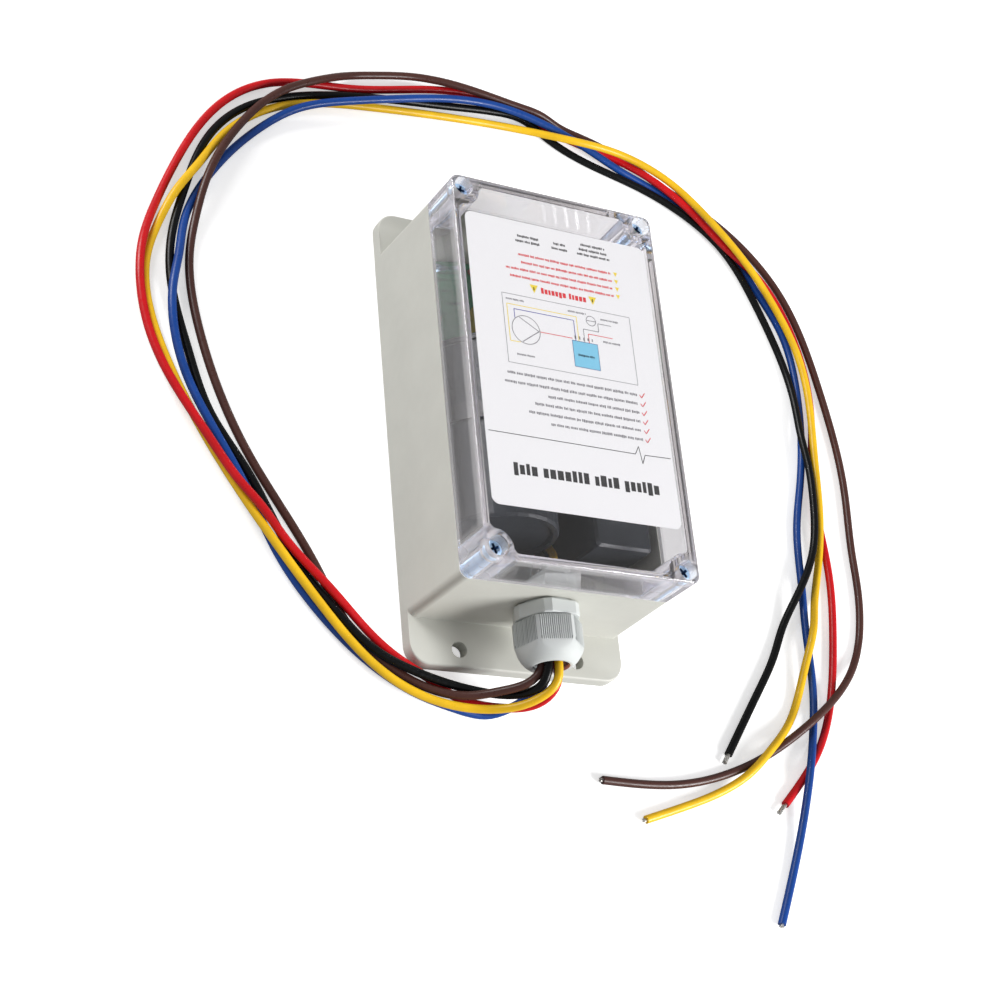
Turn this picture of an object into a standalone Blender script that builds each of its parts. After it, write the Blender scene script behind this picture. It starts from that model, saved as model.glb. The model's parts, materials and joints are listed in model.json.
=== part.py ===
"""A motor soft starter in a flanged junction box: grey base, clear screwed cover, cable gland and five leads.

Metres, +Z up. The origin is the centre of the base's back face. X runs across the box, Y along it,
and the cable gland leaves the end wall at -Y.
"""

import math

import bmesh
import bpy
import numpy as np
from mathutils import Matrix, Vector

mm = 0.001
GAP = 0.3 * mm

# Driving dimensions of the box
BOX_WIDTH = 90 * mm
BOX_LENGTH = 158 * mm
BOX_HEIGHT = 65 * mm
PARTING_Z = 45 * mm
BASE_FLARE = 1.2 * mm
FLANGE_LENGTH = 194 * mm
FLANGE_THICKNESS = 5.5 * mm
FLANGE_STEP = 0.05 * mm
WALL = 3.2 * mm
FLOOR = 3 * mm
ROOF = 2.5 * mm
CORNER_RADIUS = 3.6 * mm
FLANGE_CORNER = 8 * mm
INNER_CORNER = 1.5 * mm
EDGE_RADIUS = 1 * mm
CORNER_STEPS = 5

# Fasteners and holes
FLANGE_HOLE_RADIUS = 3.2 * mm
FLANGE_HOLE_X = 25.4 * mm
FLANGE_HOLE_Y = 90 * mm
SCREW_X = BOX_WIDTH / 2 - 5.2 * mm
SCREW_Y = BOX_LENGTH / 2 - 5 * mm
BOSS_RADIUS = 6 * mm
COLUMN_RADIUS = 7 * mm
SCREW_SHANK_RADIUS = 1.9 * mm
SCREW_HEAD_RADIUS = 3.4 * mm
SCREW_HEAD_TOP = BOX_HEIGHT - 3.2 * mm
SCREW_HEAD_HEIGHT = 2 * mm
SCREW_TIP = 34.5 * mm
BOSS_TOP = PARTING_Z - 1.8 * mm
INSERT_RADIUS = 3.2 * mm
INSERT_LENGTH = 10 * mm

# Cable gland, whose axis runs along Y through the end wall
GLAND_Z = 27.5 * mm
GLAND_FLATS = 24 * mm
GLAND_STEM_RADIUS = 9.6 * mm
GLAND_THREAD_RADIUS = 9 * mm
GLAND_BORE = 6.6 * mm
WALL_FACE = -BOX_LENGTH / 2
GLAND_FLANGE_BACK = WALL_FACE - 0.9 * mm
GLAND_FLANGE_FRONT = GLAND_FLANGE_BACK - 5.4 * mm
GLAND_MOUTH = GLAND_FLANGE_FRONT - 17 * mm
SEAL_FACE = GLAND_MOUTH + 3.3 * mm
NUT_MOUTH = 6.9 * mm

# The nut's outside, as its radius at each distance from the back of its grip
NUT_DOME = [
    (13.3 * mm, 10 * mm), (12.2 * mm, 11.5 * mm), (11.5 * mm, 12.6 * mm), (10.8 * mm, 13.6 * mm),
    (9.9 * mm, 14.9 * mm), (8.8 * mm, 16 * mm), (7.9 * mm, 16.6 * mm),
]

# Electrical parts inside
CAPACITOR_RADIUS = 22.5 * mm
CAPACITOR_AXIS = (-17.2 * mm, 27.2 * mm)
CAPACITOR_NEAR = -54 * mm
CAPACITOR_FAR = 20 * mm
BOARD_TOP = 12.6 * mm
BOARD_THICKNESS = 1.6 * mm
BOARD_NEAR = 28 * mm
BOARD_FAR = 75 * mm
BOARD_HALF_WIDTH = 40 * mm
PART_SEAT = BOARD_TOP + GAP
BOARD_SCREWS = [(-34 * mm, 33 * mm), (37 * mm, 49 * mm), (-27 * mm, 71 * mm), (27 * mm, 71 * mm)]

# Leads
WIRE_DIAMETER = 3.3 * mm
WIRE_RADIUS = WIRE_DIAMETER / 2
WIRE_POINTS = 74
LEAD_POINTS = 20
STRAIGHT_OUT = 1.6 * mm
CONDUCTOR_RADIUS = 0.95 * mm

# Where each lead stands in the gland: x across and z up, in millimetres
GLAND_PLACES = {
    "brown": (-2.9, 26.0),
    "black": (-2.3, 29.8),
    "yellow": (1.5, 30.4),
    "red": (3.2, 27.0),
    "blue": (0.5, 24.3),
}

# Each lead's route outside, from just past the gland's seal to its free end, in millimetres
ROUTES = {
    "yellow": [
        (1.4, -107.2, 29), (-4, -113.2, 22.4), (-14.5, -114.6, 12.4), (-40.5, -110, 5.5), (-60.5, -100, 6),
        (-80, -79, 5.5), (-98.5, -54.5, 5.5), (-108.5, -38, 3.5), (-132.5, 6, 2), (-143.5, 55, 2),
        (-137.5, 75, 2), (-132, 87, 4.5), (-123.5, 100, 5.5), (-109, 122, 2), (-91.5, 137, 2),
        (-44, 151, 2), (5.5, 157, 2), (30, 158, 3), (54.5, 154.5, 8.5), (72.5, 154, 8.5), (103, 144.5, 8),
        (119.5, 127.5, 10.5), (138, 109, 9), (151, 94, 6), (161.5, 66, 6), (161, 16, 5.5), (158.5, -13, 5),
        (155.5, -33.5, 2.5), (150, -51.5, 2.5), (144, -66, 5.8), (138.5, -80, 4.5), (129.5, -102, 2),
        (111.5, -120.5, 5.5), (102, -129, 4.5), (87, -137.5, 2), (72.5, -143, 2), (51, -150, 2),
    ],
    "red": [
        (3.4, -107, 25.3), (0, -112.6, 18), (-11, -112.8, 9), (-27.5, -107.2, 2), (-37, -101.5, 2),
        (-48.5, -95, 2), (-60.5, -86, 2.5), (-77, -72, 6.5), (-93.5, -54, 5.5), (-104, -42, 7.5),
        (-110.5, -34.5, 7), (-121.5, -17.5, 5.5), (-137, 8, 4.5), (-144.5, 29, 4), (-146.5, 57, 5),
        (-139.5, 81, 2), (-130, 104, 2), (-100.5, 144.5, 2), (-87.5, 151.5, 2), (-53, 158, 2), (-5, 170, 2),
        (27, 169, 2), (43.5, 162.5, 2), (80.5, 153, 3.5), (91, 147.5, 5.5), (117.5, 129.5, 6),
        (131, 117, 6), (144, 107.5, 5.5), (154.5, 98.5, 3), (163, 81, 2), (165, 31.5, 2), (161, 11, 2),
        (160.5, -18, 2), (161, -37, 2), (157, -68, 2), (141, -115, 2), (118.5, -140.5, 2),
    ],
    "blue": [
        (0.2, -105.7, 22), (-3.4, -110.2, 12), (-13, -113.5, 2.6), (-27.5, -112, 2), (-41.5, -108, 2),
        (-81.5, -78, 2), (-96, -57, 2), (-106, -35, 2), (-120.5, -10.5, 4), (-129.5, 9.5, 3.5),
        (-134.5, 44, 6), (-131.5, 58.5, 4.8), (-127.5, 77.5, 2), (-113.5, 105, 2), (-94.5, 127.5, 2),
        (-78.5, 139.5, 4.5), (-58, 147.5, 6), (-31.5, 156, 6), (17, 165, 6), (35.5, 162.5, 6),
        (65.5, 153.5, 4.5), (77.5, 149, 3.5), (93, 145, 2), (112.5, 137, 2), (133, 121.5, 2),
        (146.5, 101, 2), (156.5, 82.5, 2), (160.5, 54, 2), (153.5, 5, 2), (147.5, -17.5, 2),
        (145, -44.5, 2), (143.5, -61.5, 2), (141.5, -94.5, 2), (138.5, -109, 2), (131, -127, 5.5),
        (127, -141.5, 4), (108, -188.5, 2),
    ],
    "brown": [
        (-5.3, -105.6, 24.9), (-14.6, -108.8, 16.2), (-26.5, -109, 8), (-50, -100, 2), (-65.5, -88, 2),
        (-80.5, -61.5, 2), (-106, -18.5, 2), (-123, 29, 2), (-126, 62.5, 2), (-123.5, 79, 3.5),
        (-121, 90.5, 5.5), (-104.5, 124.5, 5.5), (-86, 145, 6), (-67, 156.5, 5.5), (-51.5, 165, 2),
        (-39.5, 168.5, 2), (-21, 172, 3), (-4, 171, 5.5), (28.5, 168, 5.5), (38.5, 167, 5), (50, 165, 2),
        (60.5, 162.5, 2), (77, 158, 2), (106.5, 144, 2), (122.5, 136.5, 2), (159, 103, 2), (173.5, 55.5, 2),
        (178, 5.5, 2), (176, -24.5, 2), (175.5, -44.5, 2), (168, -74, 2), (156.5, -88.5, 4.5),
        (141.5, -101.5, 6), (117, -118.5, 2), (98, -127.5, 2), (70, -135, 2), (33.5, -135.5, 2),
    ],
    "black": [
        (-3.2, -107.6, 27.2), (-8.5, -109.8, 16.2), (-19, -107, 8.2), (-44, -100.5, 5.5),
        (-64.5, -90.5, 5.5), (-73.5, -81, 5), (-81.5, -69.5, 2.5), (-94, -50, 2), (-106.5, -26, 2),
        (-119.5, -5.5, 2), (-127.5, 19, 2), (-134, 51.5, 2), (-133, 69, 2), (-127.5, 90.5, 2),
        (-117.5, 116.5, 2), (-103, 134, 2), (-79, 147, 2), (-31, 158, 2), (-3.5, 162, 2), (18.5, 165, 2),
        (30.5, 164, 2.5), (42, 158, 2), (65.5, 148.5, 2), (86.5, 143, 2.5), (113, 132.5, 2.5),
        (129.5, 120, 2.5), (144.5, 94.5, 2), (157, 46.5, 3), (156, 27.5, 5), (156.5, 11.5, 6),
        (155.5, -3.5, 6.5), (151.5, -27, 6), (139.5, -50, 4.5), (131.5, -63.5, 2), (124.5, -77, 2),
        (114, -93, 2), (94, -121.5, 2),
    ],
}

# Each lead's route inside, from the gland to its terminal, in millimetres
INNER_ROUTES = {
    "brown": [
        (-1.6, -61.5, 21.5), (3.4, -53, 11.5), (0.2, -37, 5.8), (-0.6, -20, 5.6), (-0.6, -6, 5.8),
        (3, 10, 9), (9, 20, 15), (14.4, 29.4, 18),
    ],
    "blue": [
        (3.4, -60, 15.4), (6.4, -52, 8.5), (3.6, -36, 5.6), (3.6, -20, 5.6), (3.6, -6, 5.8),
        (8.5, 8, 9), (14, 19, 15), (18.6, 29.4, 18),
    ],
    "red": [
        (7.4, -60, 18.2), (10.4, -52, 11), (7.8, -36, 5.6), (7.8, -20, 5.6), (7.8, -6, 5.8),
        (14, 6, 9), (19.5, 18, 15), (22.8, 29.4, 18),
    ],
    "black": [
        (2.2, -60, 23.6), (6.8, -52, 15.5), (5.7, -36, 10.2), (5.7, -20, 10), (5.7, -6, 10.4),
        (14.5, 4, 15), (23, 16, 19), (27, 29.4, 18),
    ],
    "yellow": [
        (5.4, -60, 27), (10.6, -52, 18.5), (10.2, -36, 10.2), (10.2, -20, 10), (10.2, -6, 10.4),
        (20, 2, 15), (28, 14, 18), (31.2, 29.4, 18),
    ],
}

COLOURS = {
    "housing": (0.60, 0.60, 0.56, 1, 0.5, 0),
    "clear": (0.86, 0.85, 0.90, 0.25, 0.08, 0),
    "gasket": (0.62, 0.63, 0.64, 1, 0.7, 0),
    "zinc": (0.52, 0.62, 0.75, 1, 0.25, 1),
    "brass": (0.72, 0.52, 0.22, 1, 0.35, 1),
    "label": (0.90, 0.91, 0.91, 1, 0.5, 0),
    "gland": (0.66, 0.69, 0.70, 1, 0.45, 0),
    "seal": (0.08, 0.08, 0.08, 1, 0.7, 0),
    "board": (0.02, 0.20, 0.10, 1, 0.4, 0),
    "bakelite": (0.03, 0.032, 0.035, 1, 0.35, 0),
    "foam": (0.85, 0.85, 0.80, 1, 0.9, 0),
    "nylon": (0.85, 0.85, 0.80, 1, 0.5, 0),
    "black_nylon": (0.03, 0.03, 0.032, 1, 0.45, 0),
    "aluminium": (0.70, 0.71, 0.72, 1, 0.35, 1),
    "tin": (0.72, 0.72, 0.70, 1, 0.3, 1),
    "terminal_green": (0.05, 0.32, 0.14, 1, 0.45, 0),
    "sleeve_blue": (0.03, 0.08, 0.25, 1, 0.35, 0),
    "tape_yellow": (0.80, 0.60, 0.08, 1, 0.45, 0),
    "light": (0.85, 0.30, 0.25, 1, 0.2, 0),
    "red": (0.60, 0.01, 0.015, 1, 0.4, 0),
    "black": (0.008, 0.010, 0.010, 1, 0.4, 0),
    "yellow": (0.85, 0.55, 0.03, 1, 0.4, 0),
    "blue": (0.02, 0.10, 0.42, 1, 0.4, 0),
    "brown": (0.09, 0.035, 0.025, 1, 0.4, 0),
}


# Scene, materials and mesh helpers

def clear_scene():
    for existing in list(bpy.data.objects):
        bpy.data.objects.remove(existing, do_unlink=True)


def material(slot):
    found = bpy.data.materials.get(slot)
    if found:
        return found
    made = bpy.data.materials.new(slot)
    made.use_nodes = True
    red, green, blue, alpha, roughness, metallic = COLOURS[slot]
    shader = made.node_tree.nodes["Principled BSDF"]
    shader.inputs["Base Color"].default_value = (red, green, blue, 1)
    shader.inputs["Alpha"].default_value = alpha
    shader.inputs["Roughness"].default_value = roughness
    shader.inputs["Metallic"].default_value = metallic
    return made


def add_object(name, data, slot):
    made = bpy.data.objects.new(name, data)
    bpy.context.scene.collection.objects.link(made)
    if slot:
        data.materials.append(material(slot))
    return made


def add_mesh(name, vertices, faces, slot, origin=(0, 0, 0)):
    """An object whose vertices are given in world space and whose origin is set apart."""
    shift = Vector(origin)
    mesh = bpy.data.meshes.new(name)
    mesh.from_pydata([Vector(vertex) - shift for vertex in vertices], [], faces)
    shape = bmesh.new()
    shape.from_mesh(mesh)
    bmesh.ops.recalc_face_normals(shape, faces=shape.faces)
    shape.to_mesh(mesh)
    shape.free()
    mesh.shade_smooth()
    mesh.set_sharp_from_angle(angle=math.radians(35))
    made = add_object(name, mesh, slot)
    made.location = shift
    return made


def boolean(target, tool, operation):
    """Cut the tool from the target, or join it on, and hide the tool."""
    tool.hide_render = True
    tool.display_type = "WIRE"
    modifier = target.modifiers.new(operation.lower(), "BOOLEAN")
    modifier.operation = operation
    modifier.solver = "EXACT"
    modifier.object = tool


def rounded_outline(width, length, radius, steps=CORNER_STEPS, centre=(0, 0)):
    """A rectangle with round corners, anticlockwise seen from above."""
    points = []
    corners = [(1, 1, 0), (-1, 1, 90), (-1, -1, 180), (1, -1, 270)]
    for side_x, side_y, start in corners:
        middle_x = centre[0] + side_x * (width / 2 - radius)
        middle_y = centre[1] + side_y * (length / 2 - radius)
        for step in range(steps + 1):
            angle = math.radians(start + 90 * step / steps)
            points.append((middle_x + radius * math.cos(angle), middle_y + radius * math.sin(angle)))
    return points


def polygon_outline(radius, sides, turn=0.0, centre=(0, 0)):
    """A regular polygon; with many sides, a circle."""
    points = []
    for side in range(sides):
        angle = turn + 2 * math.pi * side / sides
        points.append((centre[0] + radius * math.cos(angle), centre[1] + radius * math.sin(angle)))
    return points


def hexagon(flats, turn, centre=(0, 0)):
    return polygon_outline(flats / math.sqrt(3), 6, turn, centre)


def cut_hexagon(flats, points, turn, centre=(0, 0)):
    """A hexagon across its flats, with each point cut off square at half the distance across points."""
    outline = []
    for corner in range(6):
        angle = turn + math.pi / 3 * corner
        half = math.atan2(math.sqrt(3) * (flats / math.sqrt(3) - points / 2), points / 2)
        reach = points / 2 / math.cos(half)
        for side in (-half, half):
            outline.append(
                (centre[0] + reach * math.cos(angle + side), centre[1] + reach * math.sin(angle + side))
            )
    return outline


def loft(name, layers, slot, origin=(0, 0, 0), frame=None, closed=False):
    """A skin through outlines of equal point count, each with its height, capped at both ends.

    closed joins the last layer to the first instead, for a ring. frame turns the stack from Z.
    """
    count = len(layers[0][0])
    vertices = [(x, y, height) for outline, height in layers for x, y in outline]
    faces = []
    pairs = len(layers) if closed else len(layers) - 1
    for layer in range(pairs):
        low = layer * count
        high = (layer + 1) % len(layers) * count
        for point in range(count):
            after = (point + 1) % count
            faces.append((low + point, low + after, high + after, high + point))
    if not closed:
        faces.append(tuple(reversed(range(count))))
        faces.append(tuple(range(count * (len(layers) - 1), count * len(layers))))
    if frame:
        vertices = [frame @ Vector(vertex) for vertex in vertices]
    return add_mesh(name, vertices, faces, slot, origin)


def prism(name, outline, low, high, slot, origin=(0, 0, 0), frame=None):
    return loft(name, [(outline, low), (outline, high)], slot, origin, frame)


def turned(name, profile, sides, slot, centre=(0, 0), frame=None, origin=(0, 0, 0), closed=False):
    """A round piece from (radius, height) steps; a closed profile makes a ring."""
    layers = [(polygon_outline(radius, sides, 0, centre), height) for radius, height in profile]
    return loft(name, layers, slot, origin, frame, closed)


def block(name, low, high, slot, edge=0.5 * mm):
    """A box between two corners with a small bevel on all its edges."""
    size = [high[axis] - low[axis] for axis in range(3)]
    middle = [(high[axis] + low[axis]) / 2 for axis in range(3)]
    layers = []
    for inset, height in ((edge, low[2]), (0, low[2] + edge), (0, high[2] - edge), (edge, high[2])):
        outline = rounded_outline(
            size[0] - 2 * inset, size[1] - 2 * inset, edge, 1, (middle[0], middle[1])
        )
        layers.append((outline, height))
    return loft(name, layers, slot)


def corners(x, y):
    """The four corner places, numbered from near left anticlockwise."""
    return [(-x, -y), (x, -y), (x, y), (-x, y)]


# Y_FRAME stands a Z stack along Y, with its heights as y and its outlines' second value as z
Y_FRAME = Matrix(((1, 0, 0, 0), (0, 0, 1, 0), (0, 1, 0, 0), (0, 0, 0, 1)))
GLAND_CENTRE = (0, GLAND_Z)


# The box

def base_width(height):
    """The base's side walls lean out towards its back face; its end walls stand upright."""
    return BOX_WIDTH + 2 * BASE_FLARE * max(0, 1 - height / PARTING_Z)


def box_section(inset, height):
    width = base_width(height) - 2 * inset
    corner = max(CORNER_RADIUS - inset, INNER_CORNER)
    return rounded_outline(width, BOX_LENGTH - 2 * inset, corner), height


def make_base():
    """The grey base: a cup with a flange at each end, corner bosses, a gland hole and a gasket groove."""
    groove = 0.8 * mm
    groove_floor = PARTING_Z - 1.4 * mm
    base = loft(
        "base_enclosure",
        [
            box_section(WALL, FLOOR),
            box_section(WALL, PARTING_Z),
            box_section(WALL - groove, PARTING_Z),
            box_section(WALL - groove, groove_floor),
            box_section(groove, groove_floor),
            box_section(groove, PARTING_Z),
            box_section(0, PARTING_Z),
            box_section(0, 0),
        ],
        "housing",
    )
    flange_layers = []
    for inset, height in (
        (0, 0), (0, FLANGE_THICKNESS - EDGE_RADIUS), (EDGE_RADIUS / 3, FLANGE_THICKNESS - EDGE_RADIUS / 3),
        (EDGE_RADIUS, FLANGE_THICKNESS),
    ):
        width = base_width(height) - 2 * FLANGE_STEP
        outline = rounded_outline(width, FLANGE_LENGTH - 2 * inset, FLANGE_CORNER)
        flange_layers.append((outline, height))
    flange = loft("flange_plate", flange_layers, None)
    flange_hollow = prism("flange_hollow", box_section(WALL / 2, 0)[0], FLOOR / 2, PARTING_Z, None)
    boolean(flange, flange_hollow, "DIFFERENCE")
    boolean(base, flange, "UNION")
    inside_skin = prism("boss_limit", box_section(WALL / 2, PARTING_Z)[0], 0, BOX_HEIGHT, None)
    for index, (x, y) in enumerate(corners(SCREW_X, SCREW_Y)):
        boss = turned(
            f"boss_{index}", [(BOSS_RADIUS, FLOOR - mm), (BOSS_RADIUS, BOSS_TOP)], 28, None, (x, y)
        )
        boolean(boss, inside_skin, "INTERSECT")
        boolean(base, boss, "UNION")
        socket = turned(
            f"insert_socket_{index}",
            [(INSERT_RADIUS + GAP, BOSS_TOP - INSERT_LENGTH - 2 * GAP), (INSERT_RADIUS + GAP, PARTING_Z)],
            20, None, (x, y),
        )
        boolean(base, socket, "DIFFERENCE")
    standoff_top = BOARD_TOP - BOARD_THICKNESS - GAP
    for index, (x, y) in enumerate(BOARD_SCREWS):
        standoff = turned(
            f"standoff_{index}", [(3 * mm, FLOOR - mm), (3 * mm, standoff_top)], 16, None, (x, y)
        )
        boolean(base, standoff, "UNION")
        pilot = turned(
            f"pilot_{index}", [(1.4 * mm, FLOOR + 2 * mm), (1.4 * mm, BOARD_TOP)], 12, None, (x, y)
        )
        boolean(base, pilot, "DIFFERENCE")
    gland_hole = turned(
        "gland_hole",
        [(GLAND_STEM_RADIUS + GAP, WALL_FACE - mm), (GLAND_STEM_RADIUS + GAP, WALL_FACE + WALL + mm)],
        32, None, GLAND_CENTRE, Y_FRAME,
    )
    boolean(base, gland_hole, "DIFFERENCE")
    for index, (x, y) in enumerate(corners(FLANGE_HOLE_X, FLANGE_HOLE_Y)):
        hole = turned(
            f"flange_hole_{index}",
            [(FLANGE_HOLE_RADIUS, -mm), (FLANGE_HOLE_RADIUS, FLANGE_THICKNESS + mm)],
            24, None, (x, y),
        )
        boolean(base, hole, "DIFFERENCE")


def make_cover():
    """The clear cover: a shallow cup with a solid column in each corner for its screw."""
    rim = PARTING_Z + GAP
    roof = BOX_HEIGHT - ROOF
    cover = loft(
        "clear_cover",
        [
            box_section(WALL, roof),
            box_section(WALL, rim),
            box_section(0, rim),
            box_section(0, BOX_HEIGHT - EDGE_RADIUS),
            box_section(EDGE_RADIUS / 3, BOX_HEIGHT - EDGE_RADIUS / 3),
            box_section(EDGE_RADIUS, BOX_HEIGHT),
        ],
        "clear",
        origin=(0, 0, PARTING_Z),
    )
    seat = SCREW_HEAD_TOP - SCREW_HEAD_HEIGHT - GAP
    inside_skin = prism("column_limit", box_section(WALL / 2, PARTING_Z)[0], 0, BOX_HEIGHT, None)
    for index, (x, y) in enumerate(corners(SCREW_X, SCREW_Y)):
        column = turned(
            f"cover_column_{index}", [(COLUMN_RADIUS, rim), (COLUMN_RADIUS, roof + mm)], 28, None, (x, y)
        )
        boolean(column, inside_skin, "INTERSECT")
        boolean(cover, column, "UNION")
        clearance = SCREW_SHANK_RADIUS + 0.4 * mm
        counterbore = SCREW_HEAD_RADIUS + 0.5 * mm
        cutter = turned(
            f"screw_hole_{index}",
            [(clearance, rim - mm), (clearance, seat), (counterbore, seat), (counterbore, BOX_HEIGHT + mm)],
            24, None, (x, y),
        )
        boolean(cover, cutter, "DIFFERENCE")


def make_gasket():
    """The silicone cord in the base's groove, under the cover's rim."""
    inner = WALL - 1.2 * mm
    outer = 1.2 * mm
    low = PARTING_Z - 1.1 * mm
    layers = [
        box_section(inner, low), box_section(inner, PARTING_Z),
        box_section(outer, PARTING_Z), box_section(outer, low),
    ]
    loft("cover_gasket", layers, "gasket", closed=True)


def make_cover_screws():
    """Four pan-head screws with cross recesses, and the brass inserts that they turn in."""
    head_base = SCREW_HEAD_TOP - SCREW_HEAD_HEIGHT
    for index, (x, y) in enumerate(corners(SCREW_X, SCREW_Y), start=1):
        profile = [
            (SCREW_SHANK_RADIUS * 0.6, SCREW_TIP), (SCREW_SHANK_RADIUS, SCREW_TIP + mm),
            (SCREW_SHANK_RADIUS, head_base), (SCREW_HEAD_RADIUS, head_base),
            (SCREW_HEAD_RADIUS, SCREW_HEAD_TOP - 0.8 * mm), (SCREW_HEAD_RADIUS * 0.75, SCREW_HEAD_TOP),
        ]
        screw = turned(f"cover_screw_{index}", profile, 20, "zinc", (x, y), origin=(x, y, SCREW_HEAD_TOP))
        cut_cross(screw, f"cross_{index}", (x, y), SCREW_HEAD_TOP)
        bottom = BOSS_TOP - INSERT_LENGTH - GAP
        bore = SCREW_SHANK_RADIUS + GAP
        ring = [
            (bore, bottom), (bore, BOSS_TOP - GAP), (INSERT_RADIUS, BOSS_TOP - GAP), (INSERT_RADIUS, bottom),
        ]
        turned(f"threaded_insert_{index}", ring, 16, "brass", (x, y), closed=True)


def cut_cross(screw, name, place, top, reach=1.7 * mm, depth=1.1 * mm):
    """Cut a cross recess, drawn as one twelve-sided outline, into a screw's head."""
    half = reach * 0.25
    x, y = place
    arm = [
        (reach, -half), (reach, half), (half, half), (half, reach), (-half, reach), (-half, half),
        (-reach, half), (-reach, -half), (-half, -half), (-half, -reach), (half, -reach), (half, -half),
    ]
    outline = [(x + dx, y + dy) for dx, dy in arm]
    boolean(screw, prism(name, outline, top - depth, top + mm, None), "DIFFERENCE")


def make_label():
    """The white label sheet under the cover's roof."""
    width = 80.5 * mm
    length = 121.5 * mm
    top = BOX_HEIGHT - ROOF - GAP
    outline = rounded_outline(width, length, 3 * mm, 4, (0.6 * mm, 3.6 * mm))
    prism("diagram_label", outline, top - GAP, top, "label")


# The cable gland

def make_gland():
    """Body with a hexagon flange, washer, inner locknut, seal, claw ring and compression nut."""
    body_turn = math.radians(-7)
    nut_turn = math.radians(6)
    body = prism(
        "gland_body", cut_hexagon(GLAND_FLATS, 2 * 13 * mm, body_turn, GLAND_CENTRE),
        GLAND_FLANGE_FRONT, GLAND_FLANGE_BACK, "gland", frame=Y_FRAME,
    )
    stem_end = WALL_FACE + 11 * mm
    stem = turned(
        "gland_stem", [(GLAND_STEM_RADIUS, GLAND_FLANGE_BACK - mm), (GLAND_STEM_RADIUS, stem_end)],
        32, None, GLAND_CENTRE, Y_FRAME,
    )
    boolean(body, stem, "UNION")
    thread_end = GLAND_FLANGE_FRONT - 8 * mm
    thread = turned(
        "gland_thread", [(GLAND_THREAD_RADIUS, thread_end), (GLAND_THREAD_RADIUS, GLAND_FLANGE_FRONT + mm)],
        32, None, GLAND_CENTRE, Y_FRAME,
    )
    boolean(body, thread, "UNION")
    bore = turned(
        "gland_bore", [(GLAND_BORE, thread_end - mm), (GLAND_BORE, stem_end + mm)],
        32, None, GLAND_CENTRE, Y_FRAME,
    )
    boolean(body, bore, "DIFFERENCE")

    washer_back = WALL_FACE - GAP
    washer_front = GLAND_FLANGE_BACK + GAP
    washer_inner = GLAND_STEM_RADIUS + 0.4 * mm
    washer_outer = GLAND_FLATS / 2 - 0.6 * mm
    washer = [
        (washer_inner, washer_back), (washer_outer, washer_back),
        (washer_outer, washer_front), (washer_inner, washer_front),
    ]
    turned("gland_washer", washer, 32, "gland", GLAND_CENTRE, Y_FRAME, closed=True)

    locknut_face = WALL_FACE + WALL + GAP
    locknut = prism(
        "gland_locknut", hexagon(27 * mm, 0, GLAND_CENTRE), locknut_face, locknut_face + 5 * mm,
        "gland", frame=Y_FRAME,
    )
    locknut_bore = turned(
        "locknut_bore",
        [(GLAND_STEM_RADIUS + GAP, locknut_face - mm), (GLAND_STEM_RADIUS + GAP, locknut_face + 6 * mm)],
        32, None, GLAND_CENTRE, Y_FRAME,
    )
    boolean(locknut, locknut_bore, "DIFFERENCE")

    seal_outer = GLAND_BORE - GAP
    seal_inner = 5.6 * mm
    seal = [
        (seal_inner, GLAND_FLANGE_FRONT), (seal_outer, GLAND_FLANGE_FRONT),
        (seal_outer, SEAL_FACE), (seal_inner, SEAL_FACE),
    ]
    turned("gland_seal", seal, 32, "seal", GLAND_CENTRE, Y_FRAME, closed=True)
    make_claw(thread_end - GAP)
    make_gland_nut(nut_turn)


def make_claw(back):
    """The claw ring between seal and nut: a short ring whose front is slit into fingers."""
    inner = GLAND_BORE + 0.1 * mm
    outer = inner + 1.2 * mm
    front = SEAL_FACE - 0.6 * mm
    ring = [(inner, back), (outer, back), (outer, front), (inner, front)]
    claw = turned("gland_claw", ring, 32, "gland", GLAND_CENTRE, Y_FRAME, closed=True)
    slits = 8
    half = 0.4 * mm
    for slit in range(slits // 2):
        turn = Matrix.Rotation(math.pi * slit / (slits // 2) + math.radians(5), 4, "Y")
        centred = Matrix.Translation((0, 0, GLAND_Z)) @ turn
        outline = [(-outer * 1.2, -half), (outer * 1.2, -half), (outer * 1.2, half), (-outer * 1.2, half)]
        blade = prism(
            f"claw_slit_{slit}", outline, front - mm, back - 1.8 * mm, None, frame=centred @ Y_FRAME
        )
        boolean(claw, blade, "DIFFERENCE")


def make_gland_nut(turn):
    """The compression nut: a hexagon grip, a dome and an open mouth."""
    grip_back = GLAND_FLANGE_FRONT - 0.4 * mm
    nut = prism(
        "gland_nut", cut_hexagon(GLAND_FLATS, 2 * 13.3 * mm, turn, GLAND_CENTRE), GLAND_MOUTH, grip_back,
        "gland", origin=(0, GLAND_MOUTH, GLAND_Z), frame=Y_FRAME,
    )
    shape = [(NUT_DOME[0][0], -1 * mm)] + NUT_DOME + [(NUT_DOME[-1][0], NUT_DOME[-1][1] + mm)]
    dome = turned(
        "nut_dome", [(radius, grip_back - along) for radius, along in reversed(shape)],
        36, None, GLAND_CENTRE, Y_FRAME,
    )
    boolean(nut, dome, "INTERSECT")
    hollow = [
        (NUT_MOUTH, GLAND_MOUTH - mm), (NUT_MOUTH, GLAND_MOUTH + 1.2 * mm),
        (8.4 * mm, GLAND_MOUTH + 2.6 * mm), (8.4 * mm, GLAND_MOUTH + 8.5 * mm),
        (9.4 * mm, GLAND_MOUTH + 8.5 * mm), (9.4 * mm, grip_back + mm),
    ]
    boolean(nut, turned("nut_hollow", hollow, 36, None, GLAND_CENTRE, Y_FRAME), "DIFFERENCE")


# The electrical parts inside

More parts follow.
